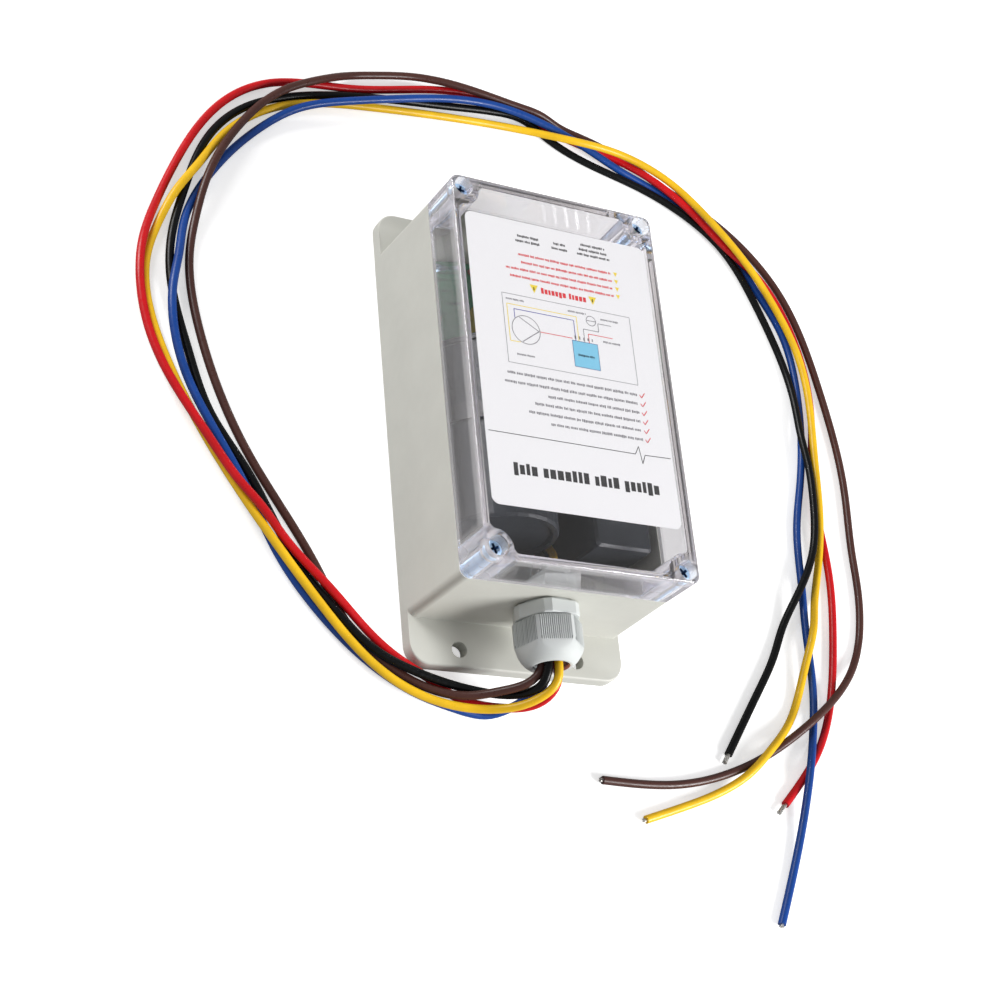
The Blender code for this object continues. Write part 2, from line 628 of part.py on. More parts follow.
def make_capacitor():
    """The large start capacitor, lying along the box, with its end cap, two terminals and a tie."""
    sides = 32
    lip = 1.2 * mm
    can = [
        (CAPACITOR_RADIUS - 3 * lip, CAPACITOR_NEAR + lip), (CAPACITOR_RADIUS - 2 * lip, CAPACITOR_NEAR),
        (CAPACITOR_RADIUS - lip / 2, CAPACITOR_NEAR), (CAPACITOR_RADIUS, CAPACITOR_NEAR + lip),
        (CAPACITOR_RADIUS, CAPACITOR_FAR - lip), (CAPACITOR_RADIUS - lip, CAPACITOR_FAR),
    ]
    turned("start_capacitor", can, sides, "bakelite", CAPACITOR_AXIS, Y_FRAME)
    cap_base = CAPACITOR_FAR + GAP
    cap_top = cap_base + 2.6 * mm
    cap = [
        (CAPACITOR_RADIUS - 0.5 * mm, cap_base), (CAPACITOR_RADIUS - 0.5 * mm, cap_top - mm),
        (CAPACITOR_RADIUS - 1.5 * mm, cap_top),
    ]
    turned("capacitor_end_cap", cap, sides, "bakelite", CAPACITOR_AXIS, Y_FRAME)
    axis_x, axis_z = CAPACITOR_AXIS
    for index, side in enumerate((-1, 1), start=1):
        x = axis_x + side * 8 * mm
        low = (x - 0.4 * mm, cap_top + GAP, axis_z - 3 * mm)
        high = (x + 0.4 * mm, cap_top + 8 * mm, axis_z + 3 * mm)
        block(f"capacitor_terminal_{index}", low, high, "tin", 0.1 * mm)
    tie_inner = CAPACITOR_RADIUS + GAP
    tie_outer = tie_inner + 0.9 * mm
    tie_near = -14 * mm
    tie_far = tie_near + 7 * mm
    band = [(tie_inner, tie_near), (tie_outer, tie_near), (tie_outer, tie_far), (tie_inner, tie_far)]
    tie = turned("capacitor_tie", band, sides, "black_nylon", CAPACITOR_AXIS, Y_FRAME, closed=True)
    head_low = (axis_x - 4 * mm, tie_near - mm, axis_z + tie_inner + 0.4 * mm)
    head_high = (axis_x + 4 * mm, tie_far + mm, axis_z + tie_outer + 4 * mm)
    boolean(tie, block("tie_head", head_low, head_high, None), "UNION")


def make_relay():
    """The start relay, a black block on a foam pad beside the capacitor, with two blade terminals."""
    left = 13.4 * mm
    right = 38 * mm
    near = -60 * mm
    far = -14 * mm
    pad_top = FLOOR + 1.3 * mm
    top = 46 * mm
    block(
        "relay_pad", (left + mm, near + mm, FLOOR + GAP), (right - mm, far - mm, pad_top), "foam", 0.2 * mm
    )
    block("start_relay", (left, near, pad_top + GAP), (right, far, top), "bakelite", mm)
    for index, y in enumerate((near + 14 * mm, far - 14 * mm), start=1):
        middle = (left + right) / 2
        low = (middle - 3 * mm, y - 0.4 * mm, top + GAP)
        high = (middle + 3 * mm, y + 0.4 * mm, top + 7 * mm)
        block(f"relay_terminal_{index}", low, high, "tin", 0.1 * mm)


def make_board():
    """The control board on its standoffs, cut back at the far corners for the cover's bosses."""
    cut = 11.5 * mm
    half = BOARD_HALF_WIDTH
    outline = [
        (-half, BOARD_NEAR), (half, BOARD_NEAR), (half, BOARD_FAR - cut),
        (half - cut, BOARD_FAR), (-half + cut, BOARD_FAR), (-half, BOARD_FAR - cut),
    ]
    board = prism("circuit_board", outline, BOARD_TOP - BOARD_THICKNESS, BOARD_TOP, "board")
    for index, (x, y) in enumerate(BOARD_SCREWS, start=1):
        hole = turned(
            f"board_hole_{index}", [(1.5 * mm, FLOOR), (1.5 * mm, BOARD_TOP + mm)], 16, None, (x, y)
        )
        boolean(board, hole, "DIFFERENCE")
        head_base = BOARD_TOP + GAP
        head_top = head_base + 1.5 * mm
        profile = [
            (1.1 * mm, FLOOR + 3 * mm), (1.1 * mm, head_base), (2.3 * mm, head_base),
            (2.3 * mm, head_top - 0.6 * mm), (1.6 * mm, head_top),
        ]
        screw = turned(f"board_screw_{index}", profile, 14, "zinc", (x, y))
        cut_cross(screw, f"board_cross_{index}", (x, y), head_top, 1.2 * mm, 0.7 * mm)


def make_board_parts():
    """Terminal block, heat sink with its triac, two capacitors, transformer, connector and lights."""
    block(
        "terminal_block", (11.5 * mm, 31.2 * mm, PART_SEAT), (34.5 * mm, 41 * mm, PART_SEAT + 11 * mm),
        "terminal_green",
    )
    make_heat_sink()
    block(
        "power_triac", (19 * mm, 49 * mm, PART_SEAT + 4 * mm), (29 * mm, 53 * mm, PART_SEAT + 19 * mm),
        "bakelite",
    )
    for index, (x, y) in enumerate(((-6 * mm, 62 * mm), (6 * mm, 62 * mm)), start=1):
        can = [
            (3.7 * mm, PART_SEAT), (4 * mm, PART_SEAT + 0.6 * mm), (4 * mm, PART_SEAT + 11 * mm),
            (3.5 * mm, PART_SEAT + 11.6 * mm),
        ]
        turned(f"filter_capacitor_{index}", can, 20, "sleeve_blue", (x, y))
    block(
        "transformer", (-14 * mm, 34 * mm, PART_SEAT), (7 * mm, 52 * mm, PART_SEAT + 9 * mm),
        "tape_yellow", mm,
    )
    block("pin_connector", (-38 * mm, 52 * mm, PART_SEAT), (-31.5 * mm, 62 * mm, PART_SEAT + 8 * mm), "nylon")
    light_height = 5 * mm
    for index in range(3):
        x = (index - 1) * 10 * mm
        lens = [
            (1.5 * mm, PART_SEAT), (1.5 * mm, PART_SEAT + light_height - mm),
            (1.2 * mm, PART_SEAT + light_height - 0.4 * mm), (0.5 * mm, PART_SEAT + light_height),
        ]
        turned(f"status_light_{index + 1}", lens, 14, "light", (x, 71 * mm))


def make_heat_sink():
    """An aluminium comb: a back plate with fins that point to the far wall."""
    left = 12 * mm
    pitch = 5 * mm
    fins = 5
    back = 53.4 * mm
    plate = 2 * mm
    depth = 12 * mm
    fin = 1.4 * mm
    outline = [(left, back)]
    outline.append((left + pitch * (fins - 1) + fin, back))
    for index in reversed(range(fins)):
        start = left + pitch * index
        outline.append((start + fin, back + depth))
        outline.append((start, back + depth))
        if index:
            outline.append((start, back + plate))
            outline.append((start - pitch + fin, back + plate))
    prism("heat_sink", outline, PART_SEAT, PART_SEAT + 24 * mm, "aluminium")


# The leads

def smooth_points(route, count, bend_weight):
    """Points along the natural cubic spline through a route, closer together where it bends."""
    knots = np.array(route, dtype=float)
    spans = np.linalg.norm(np.diff(knots, axis=0), axis=1)
    size = len(knots)
    matrix = np.eye(size)
    target = np.zeros_like(knots)
    for row in range(1, size - 1):
        before, after = spans[row - 1], spans[row]
        matrix[row, row - 1:row + 2] = before, 2 * (before + after), after
        target[row] = 6 * ((knots[row + 1] - knots[row]) / after - (knots[row] - knots[row - 1]) / before)
    bends = np.linalg.solve(matrix, target)
    fine = []
    for row, span in enumerate(spans):
        for along in np.linspace(0, span, 40, endpoint=row == size - 2):
            back = span - along
            fine.append(
                (bends[row] * back**3 + bends[row + 1] * along**3) / (6 * span)
                + (knots[row] / span - bends[row] * span / 6) * back
                + (knots[row + 1] / span - bends[row + 1] * span / 6) * along
            )
    fine = np.array(fine)
    steps = np.diff(fine, axis=0)
    lengths = np.linalg.norm(steps, axis=1)
    headings = steps / lengths[:, None]
    turns = np.linalg.norm(np.diff(headings, axis=0, prepend=headings[:1]), axis=1)
    measure = np.concatenate([[0], np.cumsum(lengths + bend_weight * turns)])
    wanted = np.linspace(0, measure[-1], count)
    return np.stack([np.interp(wanted, measure, fine[:, axis]) for axis in range(3)], axis=1)


def tube(name, points, radius, slot):
    """A round tube along points, as a curve with a bevel and filled ends."""
    curve = bpy.data.curves.new(name, "CURVE")
    curve.dimensions = "3D"
    curve.bevel_depth = radius
    curve.bevel_resolution = 2
    curve.use_fill_caps = True
    spline = curve.splines.new("POLY")
    spline.points.add(len(points) - 1)
    for point, place in zip(spline.points, points):
        point.co = (*place, 1)
    add_object(name, curve, slot)


def make_leads():
    """Five leads: inside as far as the seal, outside to the free end, and the bared conductor there."""
    bared = {"red": 5 * mm, "black": 4 * mm}
    bend_weight = 50 * mm
    for colour, route in ROUTES.items():
        x, z = (value * mm for value in GLAND_PLACES[colour])
        outside = [(x, SEAL_FACE - GAP, z), (x, SEAL_FACE - STRAIGHT_OUT, z)]
        outside += [tuple(value * mm for value in point) for point in route]
        points = smooth_points(outside, WIRE_POINTS, bend_weight)
        points[:, 2] = np.maximum(points[:, 2], WIRE_RADIUS + 0.02 * mm)
        tube(f"wire_{colour}", points, WIRE_RADIUS, colour)

        heading = points[-1] - points[-2]
        heading /= np.linalg.norm(heading)
        tip = points[-1] + heading * GAP
        end = tip + heading * bared.get(colour, 0.8 * mm)
        tube(f"conductor_{colour}", [tip, end], CONDUCTOR_RADIUS, "tin")

        stem_end = WALL_FACE + 12 * mm
        inside = [(x, SEAL_FACE, z), (x, WALL_FACE, z), (x, stem_end, z)]
        inside += [tuple(value * mm for value in point) for point in INNER_ROUTES[colour]]
        points = smooth_points(inside, LEAD_POINTS, bend_weight)
        points[:, 2] = np.maximum(points[:, 2], FLOOR + WIRE_RADIUS + GAP)
        tube(f"inner_lead_{colour}", points, WIRE_RADIUS, colour)


def main():
    clear_scene()
    make_base()
    make_cover()
    make_gasket()
    make_cover_screws()
    make_label()
    make_gland()
    make_capacitor()
    make_relay()
    make_board()
    make_board_parts()
    make_leads()


main()
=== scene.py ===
"""The looks of a motor soft starter in a flanged junction box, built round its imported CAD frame."""

import json
import math
import random

import bmesh
import bpy
import numpy as np
from mathutils import Matrix, Vector


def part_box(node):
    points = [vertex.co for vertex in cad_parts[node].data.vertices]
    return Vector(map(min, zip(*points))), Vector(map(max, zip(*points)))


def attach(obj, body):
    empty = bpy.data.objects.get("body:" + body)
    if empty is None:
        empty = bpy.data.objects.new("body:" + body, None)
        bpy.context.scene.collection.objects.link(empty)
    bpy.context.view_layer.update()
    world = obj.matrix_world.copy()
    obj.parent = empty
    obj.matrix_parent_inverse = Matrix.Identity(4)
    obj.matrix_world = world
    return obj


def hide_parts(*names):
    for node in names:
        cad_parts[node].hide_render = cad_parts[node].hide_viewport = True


mm = 0.001
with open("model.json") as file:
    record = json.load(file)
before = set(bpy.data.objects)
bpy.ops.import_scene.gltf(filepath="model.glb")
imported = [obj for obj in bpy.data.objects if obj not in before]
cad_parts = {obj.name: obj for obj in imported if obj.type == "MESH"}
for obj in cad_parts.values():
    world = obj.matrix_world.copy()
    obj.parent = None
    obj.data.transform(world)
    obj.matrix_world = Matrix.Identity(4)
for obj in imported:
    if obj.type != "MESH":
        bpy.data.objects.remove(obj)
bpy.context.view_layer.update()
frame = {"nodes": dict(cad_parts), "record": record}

# Box, taken from the frame
BASE_LOW, BASE_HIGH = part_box("base_enclosure")
COVER_LOW, COVER_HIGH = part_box("clear_cover")
LABEL_LOW, LABEL_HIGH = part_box("diagram_label")
BOX_WIDTH = COVER_HIGH.x - COVER_LOW.x
BOX_LENGTH = COVER_HIGH.y - COVER_LOW.y
BOX_HEIGHT = COVER_HIGH.z
PARTING_Z = BASE_HIGH.z
RIM_Z = COVER_LOW.z
FLANGE_LENGTH = BASE_HIGH.y - BASE_LOW.y
BASE_FLARE = (BASE_HIGH.x - BASE_LOW.x - BOX_WIDTH) / 2
FLANGE_THICKNESS = 5.5 * mm
FLANGE_STEP = 0.05 * mm
WALL = 3.2 * mm
FLOOR = 3 * mm
ROOF = 2.5 * mm
CORNER_RADIUS = 3.6 * mm
INNER_CORNER = 1.5 * mm
FLANGE_CORNER = 8 * mm
EDGE_RADIUS = 1 * mm
CORNER_STEPS = 14
BOSS_RADIUS = 6 * mm
COLUMN_RADIUS = 7 * mm
COLUMN_FILLET = 2.5 * mm
COLUMN_STEPS = 20
FILLET_STEPS = 7
GAP = 0.3 * mm

# Fasteners and holes
FLANGE_HOLE_RADIUS = 3.2 * mm
FLANGE_HOLE_X = 25.4 * mm
FLANGE_HOLE_Y = 90 * mm
SCREW_LOW, SCREW_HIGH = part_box("cover_screw_3")
SCREW_X = (SCREW_LOW.x + SCREW_HIGH.x) / 2
SCREW_Y = (SCREW_LOW.y + SCREW_HIGH.y) / 2
SCREW_HEAD_RADIUS = (SCREW_HIGH.x - SCREW_LOW.x) / 2
SCREW_SHANK_RADIUS = 1.9 * mm
SCREW_HEAD_HEIGHT = 2 * mm
RECESS_REACH = 2.3 * mm
RECESS_DEPTH = 1.7 * mm
BOSS_TOP = PARTING_Z - 1.8 * mm
INSERT_RADIUS = 3.2 * mm
INSERT_LENGTH = 10 * mm
INK_Z = LABEL_HIGH.z + 0.03 * mm
BOARD_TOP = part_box("circuit_board")[1].z
BOARD_THICKNESS = 1.6 * mm
PILOT_RADIUS = 1.4 * mm
BOARD_SCREWS = [(-34 * mm, 33 * mm), (37 * mm, 49 * mm), (-27 * mm, 71 * mm), (27 * mm, 71 * mm)]

# The cover's plastic: the light its cloudiest faces pass, and how cloudy a plain side is
CLOUDY = 0.78
WALL_CLOUD = 0.15

# Cable gland, along Y
NUT_LOW, NUT_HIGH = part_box("gland_nut")
GLAND_Z = 27.5 * mm
WALL_FACE = -BOX_LENGTH / 2
GLAND_FLANGE_LOW, GLAND_FLANGE_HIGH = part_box("gland_body")
GLAND_FLATS = 24 * mm
GLAND_STEM_RADIUS = 9.6 * mm
GLAND_THREAD_RADIUS = 9 * mm
GLAND_BORE = 6.6 * mm
GLAND_FLANGE_BACK = WALL_FACE - 0.9 * mm
GLAND_FLANGE_FRONT = GLAND_FLANGE_BACK - 5.4 * mm
GLAND_MOUTH = NUT_LOW.y
SEAL_FACE = GLAND_MOUTH + 3.3 * mm
NUT_MOUTH = 6.9 * mm
NUT_POINTS = 13.3 * mm
FLANGE_POINTS = 13 * mm
FLANGE_TURN = -3.5
NUT_TURN = 16
NUT_SIDES = 720
RIB_PITCH = 0.78 * mm
RIB_DEPTH = 0.5 * mm
RIB_MARGIN = 0.9 * mm
RIB_END = 10.4 * mm
RIB_FADE = 0.7 * mm
# The depth band of the rib grooves' floor that gets painted shade
RIB_FLOOR_FROM = 0.55 * RIB_DEPTH
RIB_FLOOR_TO = 1.1 * RIB_DEPTH
DOME_BLEND = 1.2 * mm

# The nut's outside, as its radius at each distance from the back of its grip
NUT_DOME = [
    (13.4 * mm, 9.6 * mm), (12.7 * mm, 11 * mm), (12 * mm, 12.2 * mm), (11.1 * mm, 13.6 * mm),
    (10.1 * mm, 14.9 * mm), (8.9 * mm, 16 * mm), (7.9 * mm, 16.6 * mm),
]

# Leads
WIRE_DIAMETER = 3.3 * mm
WIRE_RADIUS = WIRE_DIAMETER / 2
CORD_POINTS = 420
STRAIGHT_OUT = 1.6 * mm
GLAND_PLACES = {
    "brown": (-2.9, 26.0),
    "black": (-2.3, 29.8),
    "yellow": (1.5, 30.4),
    "red": (3.2, 27.0),
    "blue": (0.5, 24.3),
}
BARED = {"red": 5 * mm, "black": 4 * mm}
FLUSH = 0.8 * mm
STRAND_RADIUS = 0.3 * mm
ROUTES = {
    "yellow": [
        (1.4, -107.2, 29), (-4, -113.2, 22.4), (-14.5, -114.6, 12.4), (-40.5, -110, 5.5), (-60.5, -100, 6),
        (-80, -79, 5.5), (-98.5, -54.5, 5.5), (-108.5, -38, 3.5), (-132.5, 6, 2), (-143.5, 55, 2),
        (-137.5, 75, 2), (-132, 87, 4.5), (-123.5, 100, 5.5), (-109, 122, 2), (-91.5, 137, 2),
        (-44, 151, 2), (5.5, 157, 2), (30, 158, 3), (54.5, 154.5, 8.5), (72.5, 154, 8.5), (103, 144.5, 8),
        (119.5, 127.5, 10.5), (138, 109, 9), (151, 94, 6), (161.5, 66, 6), (161, 16, 5.5), (158.5, -13, 5),
        (155.5, -33.5, 2.5), (150, -51.5, 2.5), (144, -66, 5.8), (138.5, -80, 4.5), (129.5, -102, 2),
        (111.5, -120.5, 5.5), (102, -129, 4.5), (87, -137.5, 2), (72.5, -143, 2), (51, -150, 2),
    ],
    "red": [
        (3.4, -107, 25.3), (0, -112.6, 18), (-11, -112.8, 9), (-27.5, -107.2, 2), (-37, -101.5, 2),
        (-48.5, -95, 2), (-60.5, -86, 2.5), (-77, -72, 6.5), (-93.5, -54, 5.5), (-104, -42, 7.5),
        (-110.5, -34.5, 7), (-121.5, -17.5, 5.5), (-137, 8, 4.5), (-144.5, 29, 4), (-146.5, 57, 5),
        (-139.5, 81, 2), (-130, 104, 2), (-100.5, 144.5, 2), (-87.5, 151.5, 2), (-53, 158, 2), (-5, 170, 2),
        (27, 169, 2), (43.5, 162.5, 2), (80.5, 153, 3.5), (91, 147.5, 5.5), (117.5, 129.5, 6),
        (131, 117, 6), (144, 107.5, 5.5), (154.5, 98.5, 3), (163, 81, 2), (165, 31.5, 2), (161, 11, 2),
        (160.5, -18, 2), (161, -37, 2), (157, -68, 2), (141, -115, 2), (118.5, -140.5, 2),
    ],
    "blue": [
        (0.2, -105.7, 22), (-3.4, -110.2, 12), (-13, -113.5, 2.6), (-27.5, -112, 2), (-41.5, -108, 2),
        (-81.5, -78, 2), (-96, -57, 2), (-106, -35, 2), (-120.5, -10.5, 4), (-129.5, 9.5, 3.5),
        (-134.5, 44, 6), (-131.5, 58.5, 4.8), (-127.5, 77.5, 2), (-113.5, 105, 2), (-94.5, 127.5, 2),
        (-78.5, 139.5, 4.5), (-58, 147.5, 6), (-31.5, 156, 6), (17, 165, 6), (35.5, 162.5, 6),
        (65.5, 153.5, 4.5), (77.5, 149, 3.5), (93, 145, 2), (112.5, 137, 2), (133, 121.5, 2),
        (146.5, 101, 2), (156.5, 82.5, 2), (160.5, 54, 2), (153.5, 5, 2), (147.5, -17.5, 2),
        (145, -44.5, 2), (143.5, -61.5, 2), (141.5, -94.5, 2), (138.5, -109, 2), (131, -127, 5.5),
        (127, -141.5, 4), (108, -188.5, 2),
    ],
    "brown": [
        (-5.3, -105.6, 24.9), (-14.6, -108.8, 16.2), (-26.5, -109, 8), (-50, -100, 2), (-65.5, -88, 2),
        (-80.5, -61.5, 2), (-106, -18.5, 2), (-123, 29, 2), (-126, 62.5, 2), (-123.5, 79, 3.5),
        (-121, 90.5, 5.5), (-104.5, 124.5, 5.5), (-86, 145, 6), (-67, 156.5, 5.5), (-51.5, 165, 2),
        (-39.5, 168.5, 2), (-21, 172, 3), (-4, 171, 5.5), (28.5, 168, 5.5), (38.5, 167, 5), (50, 165, 2),
        (60.5, 162.5, 2), (77, 158, 2), (106.5, 144, 2), (122.5, 136.5, 2), (159, 103, 2), (173.5, 55.5, 2),
        (178, 5.5, 2), (176, -24.5, 2), (175.5, -44.5, 2), (168, -74, 2), (156.5, -88.5, 4.5),
        (141.5, -101.5, 6), (117, -118.5, 2), (98, -127.5, 2), (70, -135, 2), (33.5, -135.5, 2),
    ],
    "black": [
        (-3.2, -107.6, 27.2), (-8.5, -109.8, 16.2), (-19, -107, 8.2), (-44, -100.5, 5.5),
        (-64.5, -90.5, 5.5), (-73.5, -81, 5), (-81.5, -69.5, 2.5), (-94, -50, 2), (-106.5, -26, 2),
        (-119.5, -5.5, 2), (-127.5, 19, 2), (-134, 51.5, 2), (-133, 69, 2), (-127.5, 90.5, 2),
        (-117.5, 116.5, 2), (-103, 134, 2), (-79, 147, 2), (-31, 158, 2), (-3.5, 162, 2), (18.5, 165, 2),
        (30.5, 164, 2.5), (42, 158, 2), (65.5, 148.5, 2), (86.5, 143, 2.5), (113, 132.5, 2.5),
        (129.5, 120, 2.5), (144.5, 94.5, 2), (157, 46.5, 3), (156, 27.5, 5), (156.5, 11.5, 6),
        (155.5, -3.5, 6.5), (151.5, -27, 6), (139.5, -50, 4.5), (131.5, -63.5, 2), (124.5, -77, 2),
        (114, -93, 2), (94, -121.5, 2),
    ],
}

# Camera: where it stands, what it looks at and how far it is turned about its own axis
CAMERA_PLACE = (-360.94 * mm, -335.33 * mm, 599.66 * mm)
CAMERA_AIM = (-16.41 * mm, -38.36 * mm, 30 * mm)
CAMERA_ROLL = 50.437
CAMERA_LENS = 70.06

# Stage: the floor, the sky's light, and how bright each looks to the camera
FLOOR_HALF = 9.0
FLOOR_DROP = 0.05 * mm
SEEN_THROUGH = 0.5
SKY_LIGHT = 0.36
SKY_SEEN = 0.82


# Materials

def shader_of(name, colour, roughness, metallic=0.0):
    """A new Principled material and its parts: (material, nodes, links, shader)."""
    made = bpy.data.materials.new(name)
    made.use_nodes = True
    nodes = made.node_tree.nodes
    shader = nodes["Principled BSDF"]
    shader.inputs["Base Color"].default_value = (*colour, 1)
    shader.inputs["Roughness"].default_value = roughness
    shader.inputs["Metallic"].default_value = metallic
    return made, nodes, made.node_tree.links, shader


def noise(nodes, links, scale, detail=3.0, stretch=(1, 1, 1)):
    """Noise in the object's own coordinates; scale counts features per metre."""
    place = nodes.new("ShaderNodeTexCoord")
    mapping = nodes.new("ShaderNodeMapping")
    mapping.inputs["Scale"].default_value = stretch
    texture = nodes.new("ShaderNodeTexNoise")
    texture.inputs["Scale"].default_value = scale
    texture.inputs["Detail"].default_value = detail
    links.new(place.outputs["Object"], mapping.inputs["Vector"])
    links.new(mapping.outputs["Vector"], texture.inputs["Vector"])
    return texture.outputs["Fac"]


def spread(nodes, links, value, low, high, start=0.3, end=0.7):
    """A number between low and high, as a value runs from start to end."""
    span = nodes.new("ShaderNodeMapRange")
    span.inputs["From Min"].default_value = start
    span.inputs["From Max"].default_value = end
    span.inputs["To Min"].default_value = low
    span.inputs["To Max"].default_value = high
    links.new(value, span.inputs["Value"])
    return span.outputs["Result"]


def vary_colour(nodes, links, shader, value, dark, light):
    """Base colour that drifts between two colours."""
    ramp = nodes.new("ShaderNodeValToRGB")
    ramp.color_ramp.elements[0].position = 0.3
    ramp.color_ramp.elements[1].position = 0.7
    ramp.color_ramp.elements[0].color = (*dark, 1)
    ramp.color_ramp.elements[1].color = (*light, 1)
    links.new(value, ramp.inputs["Fac"])
    links.new(ramp.outputs["Color"], shader.inputs["Base Color"])


def bump(nodes, links, shader, value, depth, strength=1.0):
    """A fine relief, with its depth in metres."""
    node = nodes.new("ShaderNodeBump")
    node.inputs["Strength"].default_value = strength
    node.inputs["Distance"].default_value = depth
    links.new(value, node.inputs["Height"])
    links.new(node.outputs["Normal"], shader.inputs["Normal"])


def vary_gloss(nodes, links, shader, value, low, high):
    """Roughness that drifts between two values."""
    links.new(spread(nodes, links, value, low, high), shader.inputs["Roughness"])


def scaled(colour, factor):
    """A colour made lighter or darker."""
    return tuple(min(1.0, part * factor) for part in colour)


def moulded_plastic(name, colour, roughness, grain=0.004 * mm, variation=0.04, shine=0.5):
    """Moulded plastic: a fine spark-eroded grain, cloudy gloss and a slight drift of colour."""
    made, nodes, links, shader = shader_of(name, colour, roughness)
    cloud = noise(nodes, links, 45)
    vary_colour(
        nodes, links, shader, cloud, scaled(colour, 1 - variation), scaled(colour, 1 + variation / 2)
    )
    gloss = noise(nodes, links, 300, 4)
    vary_gloss(nodes, links, shader, gloss, roughness * 0.85, roughness * 1.15)
    bump(nodes, links, shader, noise(nodes, links, 2600, 2), grain)
    shader.inputs["Specular IOR Level"].default_value = shine
    return made


def calculate(nodes, links, operation, first, second=None):
    """One math node on values that are numbers or sockets."""
    node = nodes.new("ShaderNodeMath")
    node.operation = operation
    for place, value in enumerate((first, second)):
        if isinstance(value, (int, float)):
            node.inputs[place].default_value = value
        elif value is not None:
            links.new(value, node.inputs[place])
    return node.outputs["Value"]


def cover_cloud(nodes, links):
    """How cloudy the cover is: 0 on flat faces, 1 on uprights at its corners and edges."""
    place = nodes.new("ShaderNodeTexCoord")
    normal = nodes.new("ShaderNodeSeparateXYZ")
    links.new(place.outputs["Normal"], normal.inputs["Vector"])
    point = nodes.new("ShaderNodeSeparateXYZ")
    links.new(place.outputs["Object"], point.inputs["Vector"])
    flat = calculate(nodes, links, "ABSOLUTE", normal.outputs["Z"])
    upright = spread(nodes, links, flat, 1, 0, 0.3, 0.9)
    near_side = calculate(nodes, links, "ABSOLUTE", point.outputs["X"])
    near_side = spread(
        nodes, links, near_side, 0, 1, SCREW_X - 1.5 * COLUMN_RADIUS, SCREW_X - COLUMN_RADIUS
    )
    near_end = calculate(nodes, links, "ABSOLUTE", point.outputs["Y"])
    near_end = spread(
        nodes, links, near_end, 0, 1, SCREW_Y - 1.5 * COLUMN_RADIUS, SCREW_Y - COLUMN_RADIUS
    )
    corner = calculate(nodes, links, "MULTIPLY", near_side, near_end)
    top = spread(nodes, links, point.outputs["Z"], 0, 1, BOX_HEIGHT - 5 * mm, BOX_HEIGHT - 4 * mm)
    rim = spread(nodes, links, point.outputs["Z"], 0.8, 0, RIM_Z + mm, RIM_Z + 2.5 * mm)
    edge = calculate(nodes, links, "MAXIMUM", top, rim)
    edge = calculate(nodes, links, "MAXIMUM", edge, corner)
    edge = calculate(nodes, links, "MAXIMUM", edge, WALL_CLOUD)
    return calculate(nodes, links, "MULTIPLY", upright, edge)


def clear_plastic():
    """Clear moulded plastic: violet-grey in its depth, and cloudy on upright faces.

    Shadow and diffuse rays pass straight through, so lamps light what is behind it.
    """
    made, nodes, links, shader = shader_of("clear_plastic", (0.985, 0.98, 0.985), 0.02)
    shader.inputs["IOR"].default_value = 1.49
    cloud = cover_cloud(nodes, links)
    links.new(spread(nodes, links, cloud, 1, CLOUDY, 0, 1), shader.inputs["Transmission Weight"])
    vary_gloss(nodes, links, shader, noise(nodes, links, 60), 0.015, 0.04)
    bump(nodes, links, shader, noise(nodes, links, 35, 1), 0.02 * mm, 0.3)
    window = nodes.new("ShaderNodeBsdfTransparent")
    window.inputs["Color"].default_value = (0.99, 0.985, 0.99, 1)
    path = nodes.new("ShaderNodeLightPath")
    either = calculate(
        nodes, links, "MAXIMUM", path.outputs["Is Shadow Ray"], path.outputs["Is Diffuse Ray"]
    )
    mix = nodes.new("ShaderNodeMixShader")
    links.new(either, mix.inputs["Fac"])
    links.new(shader.outputs["BSDF"], mix.inputs[1])
    links.new(window.outputs["BSDF"], mix.inputs[2])
    output = nodes["Material Output"]
    links.new(mix.outputs["Shader"], output.inputs["Surface"])
    body = nodes.new("ShaderNodeVolumeAbsorption")
    body.inputs["Color"].default_value = (0.30, 0.12, 0.40, 1)
    body.inputs["Density"].default_value = 9
    links.new(body.outputs["Volume"], output.inputs["Volume"])
    return made


def rubber(name, colour):
    """Matt rubber or silicone with a fine grain."""
    made, nodes, links, shader = shader_of(name, colour, 0.7)
    vary_gloss(nodes, links, shader, noise(nodes, links, 500), 0.55, 0.85)
    bump(nodes, links, shader, noise(nodes, links, 3000), 0.01 * mm)
    return made


def plated_metal(name, colour, roughness, stretch=(1, 1, 1), scratch=400):
    """Plated or bare metal with fine scratches drawn out along one axis."""
    made, nodes, links, shader = shader_of(name, colour, roughness, 1)
    grain = noise(nodes, links, scratch, 4, stretch)
    vary_colour(nodes, links, shader, grain, scaled(colour, 0.85), scaled(colour, 1.1))
    vary_gloss(nodes, links, shader, grain, roughness * 0.7, roughness * 1.4)
    bump(nodes, links, shader, grain, 0.01 * mm, 0.5)
    return made


def lead_insulation(name, colour, roughness=0.32, shine=0.35):
    """Extruded insulation: satin, with slight waves along it and scuffs in its gloss."""
    made, nodes, links, shader = shader_of(name, colour, roughness)
    cloud = noise(nodes, links, 90)
    vary_colour(nodes, links, shader, cloud, scaled(colour, 0.9), scaled(colour, 1.08))
    vary_gloss(nodes, links, shader, noise(nodes, links, 700, 4), roughness * 0.75, roughness * 1.3)
    bump(nodes, links, shader, noise(nodes, links, 600, 2), 0.03 * mm, 0.35)
    shader.inputs["Specular IOR Level"].default_value = shine
    return made


